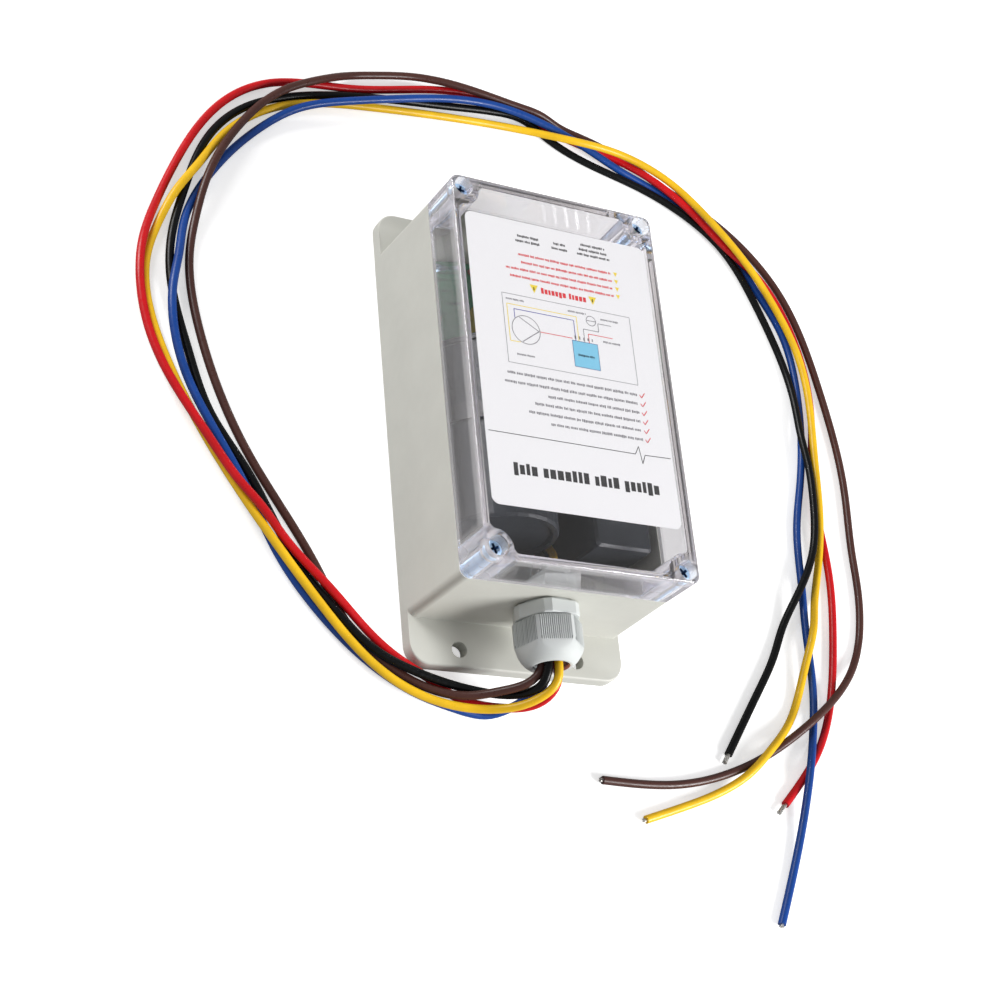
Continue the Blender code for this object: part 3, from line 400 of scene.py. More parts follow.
def circuit_lacquer():
    """Green solder mask over copper tracks, drawn by a stepped cell pattern."""
    green = (0.012, 0.16, 0.075)
    made, nodes, links, shader = shader_of("circuit_lacquer", green, 0.3)
    place = nodes.new("ShaderNodeTexCoord")
    tracks = nodes.new("ShaderNodeTexVoronoi")
    tracks.distance = "MANHATTAN"
    tracks.feature = "F1"
    tracks.inputs["Scale"].default_value = 260
    links.new(place.outputs["Object"], tracks.inputs["Vector"])
    step = nodes.new("ShaderNodeMapRange")
    step.inputs["From Min"].default_value = 0.45
    step.inputs["From Max"].default_value = 0.5
    links.new(tracks.outputs["Distance"], step.inputs["Value"])
    ramp = nodes.new("ShaderNodeMixRGB")
    ramp.inputs["Color1"].default_value = (*green, 1)
    ramp.inputs["Color2"].default_value = (0.03, 0.27, 0.12, 1)
    links.new(step.outputs["Result"], ramp.inputs["Fac"])
    links.new(ramp.outputs["Color"], shader.inputs["Base Color"])
    vary_gloss(nodes, links, shader, noise(nodes, links, 800), 0.22, 0.4)
    bump(nodes, links, shader, step.outputs["Result"], 0.03 * mm, 0.6)
    return made


def printed_sheet(name, colour):
    """Coated paper or ink: nearly flat, with a faint fibre."""
    made, nodes, links, shader = shader_of(name, colour, 0.45)
    vary_colour(nodes, links, shader, noise(nodes, links, 900, 4), scaled(colour, 0.985), colour)
    vary_gloss(nodes, links, shader, noise(nodes, links, 400), 0.4, 0.52)
    return made


def light_lens():
    """The tinted, half-clear lens of a status light."""
    made, nodes, links, shader = shader_of("light_lens", (0.9, 0.25, 0.2), 0.12)
    shader.inputs["Transmission Weight"].default_value = 0.5
    vary_gloss(nodes, links, shader, noise(nodes, links, 500), 0.08, 0.2)
    return made


def floor_paint():
    """A sweep of white card: bright to look at, and dimmer to the rays that bounce off it."""
    made, nodes, links, shader = shader_of("floor_paint", (0.42, 0.42, 0.42), 0.8)
    vary_gloss(nodes, links, shader, noise(nodes, links, 30), 0.75, 0.9)
    white = nodes.new("ShaderNodeBsdfDiffuse")
    white.inputs["Color"].default_value = (0.86, 0.86, 0.86, 1)
    lift = nodes.new("ShaderNodeEmission")
    lift.inputs["Color"].default_value = (1, 1, 1, 1)
    lift.inputs["Strength"].default_value = 0.5
    bright = nodes.new("ShaderNodeAddShader")
    links.new(white.outputs["BSDF"], bright.inputs[0])
    links.new(lift.outputs["Emission"], bright.inputs[1])
    path = nodes.new("ShaderNodeLightPath")
    through = calculate(nodes, links, "MULTIPLY", path.outputs["Is Transmission Ray"], SEEN_THROUGH)
    seen = calculate(nodes, links, "MAXIMUM", path.outputs["Is Camera Ray"], through)
    mix = nodes.new("ShaderNodeMixShader")
    links.new(seen, mix.inputs["Fac"])
    links.new(shader.outputs["BSDF"], mix.inputs[1])
    links.new(bright.outputs["Shader"], mix.inputs[2])
    links.new(mix.outputs["Shader"], nodes["Material Output"].inputs["Surface"])
    return made


MATERIALS = {
    "housing": moulded_plastic("housing_plastic", (0.60, 0.60, 0.55), 0.5, 0.006 * mm),
    "clear": clear_plastic(),
    "gasket": rubber("gasket_silicone", (0.55, 0.56, 0.58)),
    "zinc": plated_metal("blue_zinc", (0.50, 0.70, 0.95), 0.32),
    "brass": plated_metal("turned_brass", (0.72, 0.50, 0.20), 0.3),
    "label": printed_sheet("label_sheet", (0.89, 0.905, 0.895)),
    "gland": moulded_plastic("gland_nylon", (0.61, 0.635, 0.625), 0.55, 0.003 * mm, shine=0.3),
    "seal": rubber("seal_rubber", (0.03, 0.03, 0.03)),
    "board": circuit_lacquer(),
    "bakelite": moulded_plastic("black_phenolic", (0.032, 0.036, 0.042), 0.36, 0.008 * mm, 0.2, 0.28),
    "foam": moulded_plastic("pad_foam", (0.8, 0.8, 0.75), 0.9, 0.08 * mm),
    "nylon": moulded_plastic("natural_nylon", (0.80, 0.80, 0.74), 0.45),
    "black_nylon": moulded_plastic("black_nylon", (0.03, 0.03, 0.032), 0.42),
    "aluminium": plated_metal("extruded_aluminium", (0.72, 0.73, 0.74), 0.32, (1, 1, 12)),
    "tin": plated_metal("tin_plate", (0.74, 0.73, 0.70), 0.28),
    "terminal_green": moulded_plastic("terminal_plastic", (0.04, 0.30, 0.12), 0.42),
    "sleeve_blue": moulded_plastic("capacitor_sleeve", (0.03, 0.08, 0.25), 0.3),
    "tape_yellow": moulded_plastic("winding_tape", (0.78, 0.55, 0.06), 0.38),
    "light": light_lens(),
    "red": lead_insulation("red_insulation", (0.56, 0.004, 0.008)),
    "black": lead_insulation("black_insulation", (0.003, 0.0035, 0.004), 0.3, 0.2),
    "yellow": lead_insulation("yellow_insulation", (0.84, 0.50, 0.012)),
    "blue": lead_insulation("blue_insulation", (0.006, 0.055, 0.28)),
    "brown": lead_insulation("brown_insulation", (0.070, 0.026, 0.020)),
}
# Painted shade: a darker grey for the floor of the gland nut's rib grooves
RIB_PAINTED_SHADE = moulded_plastic("gland_rib_painted_shade", (0.34, 0.36, 0.355), 0.6, shine=0.2)
# Painted shade: a dark blue-black for the faces inside each screw's cross recess
RECESS_PAINTED_SHADE = plated_metal("screw_recess_painted_shade", (0.03, 0.07, 0.16), 0.4)
INKS = {
    "black": printed_sheet("ink_black", (0.02, 0.02, 0.02)),
    "grey": printed_sheet("ink_grey", (0.24, 0.24, 0.25)),
    "red": printed_sheet("ink_red", (0.72, 0.03, 0.04)),
    "yellow": printed_sheet("ink_yellow", (0.90, 0.72, 0.05)),
    "blue": printed_sheet("ink_blue", (0.22, 0.60, 0.80)),
    "navy": printed_sheet("ink_navy", (0.05, 0.05, 0.35)),
}


# Mesh helpers

def finish_mesh(name, mesh, slot, body, angle=35):
    """An object from a mesh, with its normals, smoothing, material, slot and body."""
    shape = bmesh.new()
    shape.from_mesh(mesh)
    bmesh.ops.recalc_face_normals(shape, faces=shape.faces)
    shape.to_mesh(mesh)
    shape.free()
    mesh.shade_smooth()
    mesh.set_sharp_from_angle(angle=math.radians(angle))
    made = bpy.data.objects.new(name, mesh)
    bpy.context.scene.collection.objects.link(made)
    if slot:
        mesh.materials.append(MATERIALS[slot])
    if body:
        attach(made, body)
    return made


def add_mesh(name, vertices, faces, slot=None, body=None, angle=35):
    """An object from vertices and faces."""
    mesh = bpy.data.meshes.new(name)
    mesh.from_pydata([tuple(vertex) for vertex in vertices], [], faces)
    return finish_mesh(name, mesh, slot, body, angle)


def rounded_outline(width, length, radius, steps=CORNER_STEPS, centre=(0, 0)):
    """A rectangle with round corners."""
    points = []
    for side_x, side_y, start in [(1, 1, 0), (-1, 1, 90), (-1, -1, 180), (1, -1, 270)]:
        middle_x = centre[0] + side_x * (width / 2 - radius)
        middle_y = centre[1] + side_y * (length / 2 - radius)
        for step in range(steps + 1):
            angle = math.radians(start + 90 * step / steps)
            points.append((middle_x + radius * math.cos(angle), middle_y + radius * math.sin(angle)))
    return points


def polygon_outline(radius, sides, turn=0.0, centre=(0, 0)):
    """A regular polygon."""
    points = []
    for side in range(sides):
        angle = turn + 2 * math.pi * side / sides
        points.append((centre[0] + radius * math.cos(angle), centre[1] + radius * math.sin(angle)))
    return points


def loft(name, layers, slot=None, body=None, frame_matrix=None, closed=False, angle=35):
    """A skin through outlines of equal point count, each with its height; closed makes a ring."""
    count = len(layers[0][0])
    vertices = [(x, y, height) for outline, height in layers for x, y in outline]
    faces = []
    pairs = len(layers) if closed else len(layers) - 1
    for layer in range(pairs):
        low = layer * count
        high = (layer + 1) % len(layers) * count
        for point in range(count):
            after = (point + 1) % count
            faces.append((low + point, low + after, high + after, high + point))
    if not closed:
        faces.append(tuple(reversed(range(count))))
        faces.append(tuple(range(count * (len(layers) - 1), count * len(layers))))
    if frame_matrix:
        vertices = [frame_matrix @ Vector(vertex) for vertex in vertices]
    return add_mesh(name, vertices, faces, slot, body, angle)


def prism(name, outline, low, high, slot=None, body=None, frame_matrix=None):
    """A straight solid on an outline."""
    return loft(name, [(outline, low), (outline, high)], slot, body, frame_matrix)


def turned(
    name, profile, sides=64, slot=None, body=None, centre=(0, 0), frame_matrix=None, closed=False
):
    """A round solid from a profile of radii and heights."""
    layers = [(polygon_outline(radius, sides, 0, centre), height) for radius, height in profile]
    return loft(name, layers, slot, body, frame_matrix, closed)


def boolean(target, tool, operation):
    """Cut or join at once, and drop the tool."""
    modifier = target.modifiers.new("boolean", "BOOLEAN")
    modifier.operation = operation
    modifier.solver = "EXACT"
    modifier.object = tool
    bpy.context.view_layer.update()
    evaluated = target.evaluated_get(bpy.context.evaluated_depsgraph_get())
    baked = bpy.data.meshes.new_from_object(evaluated)
    target.modifiers.clear()
    target.data = baked
    bpy.data.objects.remove(tool, do_unlink=True)


def dress(piece, slot, body, angle=35):
    """Give a finished solid its smoothing, material, slot and body."""
    piece.data.shade_smooth()
    piece.data.set_sharp_from_angle(angle=math.radians(angle))
    piece.data.materials.clear()
    piece.data.materials.append(MATERIALS[slot])
    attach(piece, body)
    return piece


def round_edges(piece, width, segments=2, angle=40):
    """Bevel a piece's sharp edges."""
    modifier = piece.modifiers.new("round_edges", "BEVEL")
    modifier.width = width
    modifier.segments = segments
    modifier.limit_method = "ANGLE"
    modifier.angle_limit = math.radians(angle)
    modifier.harden_normals = True
    modifier.use_clamp_overlap = True


def corners(x, y):
    """The four corners of a centred rectangle, in order round it."""
    return [(-x, -y), (x, -y), (x, y), (-x, y)]


Y_FRAME = Matrix(((1, 0, 0, 0), (0, 0, 1, 0), (0, 1, 0, 0), (0, 0, 0, 1)))
GLAND_CENTRE = (0, GLAND_Z)


# Camera, stage and lights

def make_camera():
    """The camera, turned about its own axis as the picture needs."""
    data = bpy.data.cameras.new("camera")
    data.lens = CAMERA_LENS
    data.sensor_width = 36
    data.clip_start = 0.01
    data.clip_end = 20
    camera = bpy.data.objects.new("camera", data)
    bpy.context.scene.collection.objects.link(camera)
    camera.location = CAMERA_PLACE
    ahead = Vector(CAMERA_AIM) - Vector(CAMERA_PLACE)
    roll = Matrix.Rotation(math.radians(CAMERA_ROLL), 3, "Z")
    turn = ahead.to_track_quat("-Z", "Y").to_matrix() @ roll
    camera.rotation_euler = turn.to_euler()
    bpy.context.scene.camera = camera


def make_stage():
    """A wide pale floor just under the box's back face."""
    vertices = [(x, y, -FLOOR_DROP) for x, y in corners(FLOOR_HALF, FLOOR_HALF)]
    mesh = bpy.data.meshes.new("floor")
    mesh.from_pydata(vertices, [], [(0, 1, 2, 3)])
    floor = bpy.data.objects.new("floor", mesh)
    bpy.context.scene.collection.objects.link(floor)
    mesh.materials.append(floor_paint())


def add_light(name, place, aim, size, power):
    """A round soft lamp."""
    data = bpy.data.lights.new(name, "AREA")
    data.shape = "DISK"
    data.size = size
    data.energy = power
    light = bpy.data.objects.new(name, data)
    light.location = place
    light.rotation_euler = (Vector(aim) - Vector(place)).to_track_quat("-Z", "Y").to_euler()
    bpy.context.scene.collection.objects.link(light)


def make_lights():
    """A pale sky, two soft lamps, and enough bounces for light to cross the clear cover."""
    world = bpy.data.worlds.new("studio")
    world.use_nodes = True
    nodes = world.node_tree.nodes
    background = nodes["Background"]
    background.inputs["Color"].default_value = (0.99, 0.99, 1.0, 1)
    path = nodes.new("ShaderNodeLightPath")
    strength = spread(
        nodes, world.node_tree.links, path.outputs["Is Camera Ray"], SKY_LIGHT, SKY_SEEN, 0, 1
    )
    world.node_tree.links.new(strength, background.inputs["Strength"])
    bpy.context.scene.world = world
    aim = (0, 0, 0.03)
    add_light("key_light", (1.05, -0.9, 0.75), aim, size=0.8, power=30)
    add_light("side_light", (-1.0, 0.85, 0.6), aim, size=0.8, power=17)
    cycles = bpy.context.scene.cycles
    cycles.max_bounces = 24
    cycles.transmission_bounces = 24
    cycles.glossy_bounces = 12
    bpy.context.scene.view_settings.view_transform = "Standard"


# The leads

def smooth_points(route, count):
    """Evenly spaced points along the natural cubic spline through a route."""
    knots = np.array(route, dtype=float)
    spans = np.linalg.norm(np.diff(knots, axis=0), axis=1)
    size = len(knots)
    matrix = np.eye(size)
    target = np.zeros_like(knots)
    for row in range(1, size - 1):
        before, after = spans[row - 1], spans[row]
        matrix[row, row - 1:row + 2] = before, 2 * (before + after), after
        slope_after = (knots[row + 1] - knots[row]) / after
        slope_before = (knots[row] - knots[row - 1]) / before
        target[row] = 6 * (slope_after - slope_before)
    bends = np.linalg.solve(matrix, target)
    fine = []
    for row, span in enumerate(spans):
        for along in np.linspace(0, span, 40, endpoint=row == size - 2):
            back = span - along
            fine.append(
                (bends[row] * back**3 + bends[row + 1] * along**3) / (6 * span)
                + (knots[row] / span - bends[row] * span / 6) * back
                + (knots[row + 1] / span - bends[row + 1] * span / 6) * along
            )
    fine = np.array(fine)
    measure = np.concatenate([[0], np.cumsum(np.linalg.norm(np.diff(fine, axis=0), axis=1))])
    wanted = np.linspace(0, measure[-1], count)
    return np.stack([np.interp(wanted, measure, fine[:, axis]) for axis in range(3)], axis=1)


def tube(name, points, radius, slot):
    """A round lead as one open curve."""
    curve = bpy.data.curves.new(name, "CURVE")
    curve.dimensions = "3D"
    curve.bevel_depth = radius
    curve.bevel_resolution = 6
    curve.use_fill_caps = True
    spline = curve.splines.new("POLY")
    spline.points.add(len(points) - 1)
    for point, place in zip(spline.points, points):
        point.co = (*place, 1)
    made = bpy.data.objects.new(name, curve)
    bpy.context.scene.collection.objects.link(made)
    curve.materials.append(MATERIALS[slot])
    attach(made, "enclosure")
    return made


def strand_bundle(name, base, heading, length):
    """Bared strands: six tinned strands twisted round one, fanning slightly."""
    ring = 2.02 * STRAND_RADIUS
    up = Vector((0, 0, 1))
    side = heading.cross(up).normalized()
    top = side.cross(heading).normalized()
    vertices, faces = [], []
    sides, steps = 10, 9
    for strand in range(7):
        turn = strand * math.pi / 3
        reach = 0 if strand == 6 else ring
        first = len(vertices)
        for step in range(steps):
            along = step / (steps - 1)
            twist = turn + 1.5 * along * length / (5 * mm)
            flare = reach * (1 + 0.25 * along * along)
            centre = base + heading * (along * length)
            centre += (side * math.cos(twist) + top * math.sin(twist)) * flare
            for corner in range(sides):
                angle = 2 * math.pi * corner / sides
                offset = (side * math.cos(angle) + top * math.sin(angle)) * STRAND_RADIUS
                vertices.append(centre + offset)
        for step in range(steps - 1):
            for corner in range(sides):
                low = first + step * sides
                after = (corner + 1) % sides
                faces.append((low + corner, low + after, low + sides + after, low + sides + corner))
        faces.append(tuple(first + corner for corner in reversed(range(sides))))
        faces.append(tuple(first + (steps - 1) * sides + corner for corner in range(sides)))
    return add_mesh(name, vertices, faces, "tin", "enclosure", 50)


def make_leads():
    """The five leads, each with its bared strands."""
    for colour, route in ROUTES.items():
        x, z = (value * mm for value in GLAND_PLACES[colour])
        outside = [(x, SEAL_FACE - GAP, z), (x, SEAL_FACE - STRAIGHT_OUT, z)]
        outside += [tuple(value * mm for value in point) for point in route]
        points = smooth_points(outside, CORD_POINTS)
        points[:, 2] = np.maximum(points[:, 2], WIRE_RADIUS + 0.02 * mm)
        lead = tube(f"lead_{colour}", points, WIRE_RADIUS, colour)
        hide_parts(f"wire_{colour}")

        heading = Vector(points[-1] - points[-3]).normalized()
        tip = Vector(points[-1])
        strands = strand_bundle(f"strands_{colour}", tip, heading, GAP + BARED.get(colour, FLUSH))
        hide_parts(f"conductor_{colour}")


# The box

def base_width(height):
    """The base's side walls lean out towards its back face; its end walls stand upright."""
    return BOX_WIDTH + 2 * BASE_FLARE * max(0, 1 - height / PARTING_Z)


def box_section(inset, height, steps=CORNER_STEPS):
    """The box's outline at a height, moved in by an inset."""
    width = base_width(height) - 2 * inset
    corner = max(CORNER_RADIUS - inset, INNER_CORNER)
    return rounded_outline(width, BOX_LENGTH - 2 * inset, corner, steps), height


def rounded_top(outer, top, radius, steps=5):
    """Sections that round a box's top edge."""
    sections = []
    for step in range(steps + 1):
        angle = math.pi / 2 * step / steps
        inset = outer + radius * (1 - math.cos(angle))
        sections.append((inset, top - radius * (1 - math.sin(angle))))
    return sections


def make_base():
    """The grey base: cup, flange, bosses, holes, standoffs and gasket groove."""
    groove = 0.8 * mm
    groove_floor = PARTING_Z - 1.4 * mm
    base = loft(
        "base_shell",
        [
            box_section(WALL, FLOOR), box_section(WALL, PARTING_Z),
            box_section(WALL - groove, PARTING_Z), box_section(WALL - groove, groove_floor),
            box_section(groove, groove_floor), box_section(groove, PARTING_Z),
            box_section(0, PARTING_Z), box_section(0, 0),
        ],
    )
    layers = []
    for inset, height in [(0, 0)] + rounded_top(0, FLANGE_THICKNESS, EDGE_RADIUS):
        width = base_width(height) - 2 * FLANGE_STEP
        layers.append((rounded_outline(width, FLANGE_LENGTH - 2 * inset, FLANGE_CORNER), height))
    flange = loft("flange", layers)
    hollow = prism("flange_hollow", box_section(WALL / 2, 0)[0], FLOOR / 2, PARTING_Z)
    boolean(flange, hollow, "DIFFERENCE")
    boolean(base, flange, "UNION")
    for x, y in corners(SCREW_X, SCREW_Y):
        profile = [(BOSS_RADIUS, FLOOR - mm), (BOSS_RADIUS, BOSS_TOP)]
        boss = turned("boss", profile, 48, centre=(x, y))
        limit = prism("limit", box_section(WALL / 2, PARTING_Z)[0], 0, BOX_HEIGHT)
        boolean(boss, limit, "INTERSECT")
        boolean(base, boss, "UNION")
        radius = INSERT_RADIUS + GAP
        bottom = BOSS_TOP - INSERT_LENGTH - 2 * GAP
        socket = turned("socket", [(radius, bottom), (radius, PARTING_Z)], 40, centre=(x, y))
        boolean(base, socket, "DIFFERENCE")
    for x, y in BOARD_SCREWS:
        top = BOARD_TOP - BOARD_THICKNESS - GAP
        standoff = turned("standoff", [(3.4 * mm, FLOOR - mm), (2.9 * mm, top)], 32, centre=(x, y))
        boolean(base, standoff, "UNION")
        bore = [(PILOT_RADIUS, FLOOR + 2 * mm), (PILOT_RADIUS, BOARD_TOP)]
        pilot = turned("pilot", bore, 24, centre=(x, y))
        boolean(base, pilot, "DIFFERENCE")
    hole = GLAND_STEM_RADIUS + GAP
    cutter = turned(
        "gland_hole", [(hole, WALL_FACE - mm), (hole, WALL_FACE + WALL + mm)], 64,
        centre=GLAND_CENTRE, frame_matrix=Y_FRAME,
    )
    boolean(base, cutter, "DIFFERENCE")
    for x, y in corners(FLANGE_HOLE_X, FLANGE_HOLE_Y):
        bore = [(FLANGE_HOLE_RADIUS, -mm), (FLANGE_HOLE_RADIUS, FLANGE_THICKNESS + mm)]
        hole = turned("flange_hole", bore, 48, centre=(x, y))
        boolean(base, hole, "DIFFERENCE")
    dress(base, "housing", "enclosure", 30)
    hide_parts("base_enclosure")


def arc(centre, radius, first, last, steps):
    """Points along an arc between two angles in degrees."""
    points = []
    for step in range(steps + 1):
        angle = math.radians(first + (last - first) * step / steps)
        points.append((centre[0] + radius * math.cos(angle), centre[1] + radius * math.sin(angle)))
    return points


def cavity_outline():
    """The cover's hollow: a rectangle that steps round a filleted screw column in each corner."""
    side = BOX_WIDTH / 2 - WALL
    end = BOX_LENGTH / 2 - WALL
    reach = COLUMN_RADIUS + COLUMN_FILLET
    across = side - COLUMN_FILLET
    along = end - COLUMN_FILLET
    near_side = (across, SCREW_Y - math.sqrt(reach**2 - (SCREW_X - across) ** 2))
    near_end = (SCREW_X - math.sqrt(reach**2 - (SCREW_Y - along) ** 2), along)
    turn_side = math.degrees(math.atan2(SCREW_Y - near_side[1], SCREW_X - near_side[0]))
    turn_end = math.degrees(math.atan2(SCREW_Y - near_end[1], SCREW_X - near_end[0]))
    corner = arc(near_side, COLUMN_FILLET, 0, turn_side, FILLET_STEPS)
    corner += arc((SCREW_X, SCREW_Y), COLUMN_RADIUS, turn_side + 180, turn_end + 180, COLUMN_STEPS)
    corner += arc(near_end, COLUMN_FILLET, turn_end, 90, FILLET_STEPS)
    outline = list(corner)
    outline += [(-x, y) for x, y in reversed(corner)]
    outline += [(-x, -y) for x, y in corner]
    outline += [(x, -y) for x, y in reversed(corner)]
    return outline


def make_cover():
    """The clear cover with a screw column in each corner."""
    roof = BOX_HEIGHT - ROOF
    steps = COLUMN_STEPS + 2 * FILLET_STEPS + 2
    hollow = cavity_outline()
    layers = [(hollow, roof), (hollow, RIM_Z), box_section(0, RIM_Z, steps)]
    layers += [
        box_section(inset, height, steps) for inset, height in rounded_top(0, BOX_HEIGHT, 1.2 * mm)
    ]
    cover = loft("cover_shell", layers)
    seat = SCREW_HIGH.z - SCREW_HEAD_HEIGHT - GAP
    for x, y in corners(SCREW_X, SCREW_Y):
        clearance = SCREW_SHANK_RADIUS + 0.4 * mm
        counterbore = SCREW_HEAD_RADIUS + 0.5 * mm
        bore = [
            (clearance, RIM_Z - mm), (clearance, seat), (counterbore, seat),
            (counterbore, BOX_HEIGHT + mm),
        ]
        cutter = turned("screw_hole", bore, 56, centre=(x, y))
        boolean(cover, cutter, "DIFFERENCE")
    dress(cover, "clear", "cover", 30)
    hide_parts("clear_cover")


def threaded_rod(radius, low, high, pitch, depth, place, sides=24, steps_per_turn=6):
    """Layers of a rod whose radius follows a helical thread."""
    x, y = place
    count = int((high - low) / pitch * steps_per_turn) + 1
    layers = []
    for step in range(count):
        height = low + (high - low) * step / (count - 1)
        outline = []
        for side in range(sides):
            angle = 2 * math.pi * side / sides
            phase = (height / pitch - angle / (2 * math.pi)) % 1
            reach = radius - depth * abs(2 * phase - 1)
            outline.append((x + reach * math.cos(angle), y + reach * math.sin(angle)))
        layers.append((outline, height))
    return layers


def make_cover_screws():
    """Pan-head screws with cross recesses and real threads."""
    top = SCREW_HIGH.z
    head_base = top - SCREW_HEAD_HEIGHT
    tip = SCREW_LOW.z
    for index, (x, y) in enumerate(corners(SCREW_X, SCREW_Y), start=1):
        sides = 36
        layers = [(polygon_outline(SCREW_SHANK_RADIUS * 0.55, sides, 0, (x, y)), tip)]
        layers += threaded_rod(
            SCREW_SHANK_RADIUS, tip + 0.8 * mm, head_base - 1.5 * mm,
            pitch=0.8 * mm, depth=0.3 * mm, place=(x, y), sides=sides,
        )
        head = [
            (SCREW_SHANK_RADIUS * 0.9, head_base - 1.2 * mm), (SCREW_SHANK_RADIUS * 0.9, head_base),
            (SCREW_HEAD_RADIUS - 0.15 * mm, head_base), (SCREW_HEAD_RADIUS, head_base + 0.15 * mm),
            (SCREW_HEAD_RADIUS, top - 1.1 * mm), (SCREW_HEAD_RADIUS * 0.95, top - 0.7 * mm),
            (SCREW_HEAD_RADIUS * 0.82, top - 0.35 * mm), (SCREW_HEAD_RADIUS * 0.6, top - 0.1 * mm),
            (SCREW_HEAD_RADIUS * 0.3, top),
        ]
        layers += [(polygon_outline(radius, sides, 0, (x, y)), height) for radius, height in head]
        screw = loft(f"lid_screw_{index}", layers)
        cut_cross(screw, (x, y), top, RECESS_REACH, RECESS_DEPTH, 20 * index)
        dress(screw, "zinc", f"screw_{index}", 40)
        # Painted shade: the faces inside the cross recess get the dark material
        screw.data.materials.append(RECESS_PAINTED_SHADE)
        for face in screw.data.polygons:
            x_off, y_off = face.center.x - x, face.center.y - y
            inside = math.hypot(x_off, y_off) < RECESS_REACH
            if inside and top - RECESS_DEPTH - 0.05 * mm < face.center.z < top - 0.3 * mm:
                face.material_index = 1
        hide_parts(f"cover_screw_{index}")


def cut_cross(screw, place, top, reach, depth, turn=0):
    """A cross recess that narrows towards its floor."""
    half = reach * 0.25
    arm = [
        (reach, -half), (reach, half), (half, half), (half, reach), (-half, reach), (-half, half),
        (-reach, half), (-reach, -half), (-half, -half), (-half, -reach), (half, -reach), (half, -half),
    ]
    angle = math.radians(turn)
    layers = []
    for scale, height in ((0.35, top - depth), (1.0, top + 0.2 * mm)):
        outline = []
        for dx, dy in arm:
            spin_x = dx * math.cos(angle) - dy * math.sin(angle)
            spin_y = dx * math.sin(angle) + dy * math.cos(angle)
            outline.append((place[0] + spin_x * scale, place[1] + spin_y * scale))
        layers.append((outline, height))
    boolean(screw, loft("cross", layers), "DIFFERENCE")


# The cable gland

def cut_hexagon(flats, points, turn):
    """A hexagon across its flats, with its corners cut off square at a distance across them."""
    outline = []
    half = math.atan2(math.sqrt(3) * (flats / math.sqrt(3) - points / 2), points / 2)
    reach = points / 2 / math.cos(half)
    for corner in range(6):
        angle = turn + math.pi / 3 * corner
        for side in (-half, half):
            outline.append((reach * math.cos(angle + side), GLAND_Z + reach * math.sin(angle + side)))
    return outline


def make_gland_body():
    """The gland's hexagon flange with its threaded stem into the wall and its bore."""
    ease = 0.4 * mm
    layers = []
    for inset, along in (
        (ease, GLAND_FLANGE_FRONT), (0, GLAND_FLANGE_FRONT + ease), (0, GLAND_FLANGE_BACK - ease),
        (ease, GLAND_FLANGE_BACK),
    ):
        outline = cut_hexagon(
            GLAND_FLATS - inset, 2 * FLANGE_POINTS - inset, math.radians(FLANGE_TURN)
        )
        layers.append((outline, along))
    body = loft("gland_flange", layers, frame_matrix=Y_FRAME)
    for name, radius, front, back, operation in (
        ("stem", GLAND_STEM_RADIUS, GLAND_FLANGE_BACK - mm, GLAND_FLANGE_HIGH.y, "UNION"),
        ("thread", GLAND_THREAD_RADIUS, GLAND_FLANGE_LOW.y, GLAND_FLANGE_FRONT + mm, "UNION"),
        ("bore", GLAND_BORE, GLAND_FLANGE_LOW.y - mm, GLAND_FLANGE_HIGH.y + mm, "DIFFERENCE"),
    ):
        rod = turned(
            name, [(radius, front), (radius, back)], 64, centre=GLAND_CENTRE, frame_matrix=Y_FRAME
        )
        boolean(body, rod, operation)
    dress(body, "gland", "enclosure", 20)
    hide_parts("gland_body")


def nut_grip(angle):
    """The smooth hexagon's radius at an angle, and how far along its flat that angle is."""
    apothem = GLAND_FLATS / 2
    off_flat = (angle + math.pi / 6) % (math.pi / 3) - math.pi / 6
    off_flat = math.pi / 6 - abs(off_flat)
    radius = min(apothem / math.cos(off_flat), NUT_POINTS / math.cos(math.pi / 6 - off_flat))
    return radius, apothem * math.tan(off_flat)


def nut_radius(angle, dome, along):
    """The nut's radius: ribbed flats, smooth strips on the corners, blended into the dome."""
    radius, along_flat = nut_grip(angle)
    half_flat = GLAND_FLATS / 2 * math.tan(math.pi / 6)
    if abs(along_flat) < half_flat - RIB_MARGIN:
        wave = 0.5 + 0.5 * math.cos(2 * math.pi * along_flat / RIB_PITCH)
        fade = min(1, max(0, (RIB_END - along) / RIB_FADE))
        radius -= RIB_DEPTH * (1 - wave) * fade
    overlap = max(0, DOME_BLEND - abs(radius - dome)) / DOME_BLEND
    return min(radius, dome) - overlap**2 * DOME_BLEND / 4


def paint_rib_shade(nut, turn):
    """Painted shade: a darker material on the floor of the grooves between the nut's ribs."""
    nut.data.materials.append(RIB_PAINTED_SHADE)
    for face in nut.data.polygons:
        across, up = face.center.x, face.center.z - GLAND_Z
        grip, _ = nut_grip(math.atan2(up, across) - turn)
        sunk = grip - math.hypot(across, up)
        ribbed = face.center.y > NUT_HIGH.y - RIB_END + RIB_FADE
        if ribbed and RIB_FLOOR_FROM < sunk < RIB_FLOOR_TO:
            face.material_index = 1


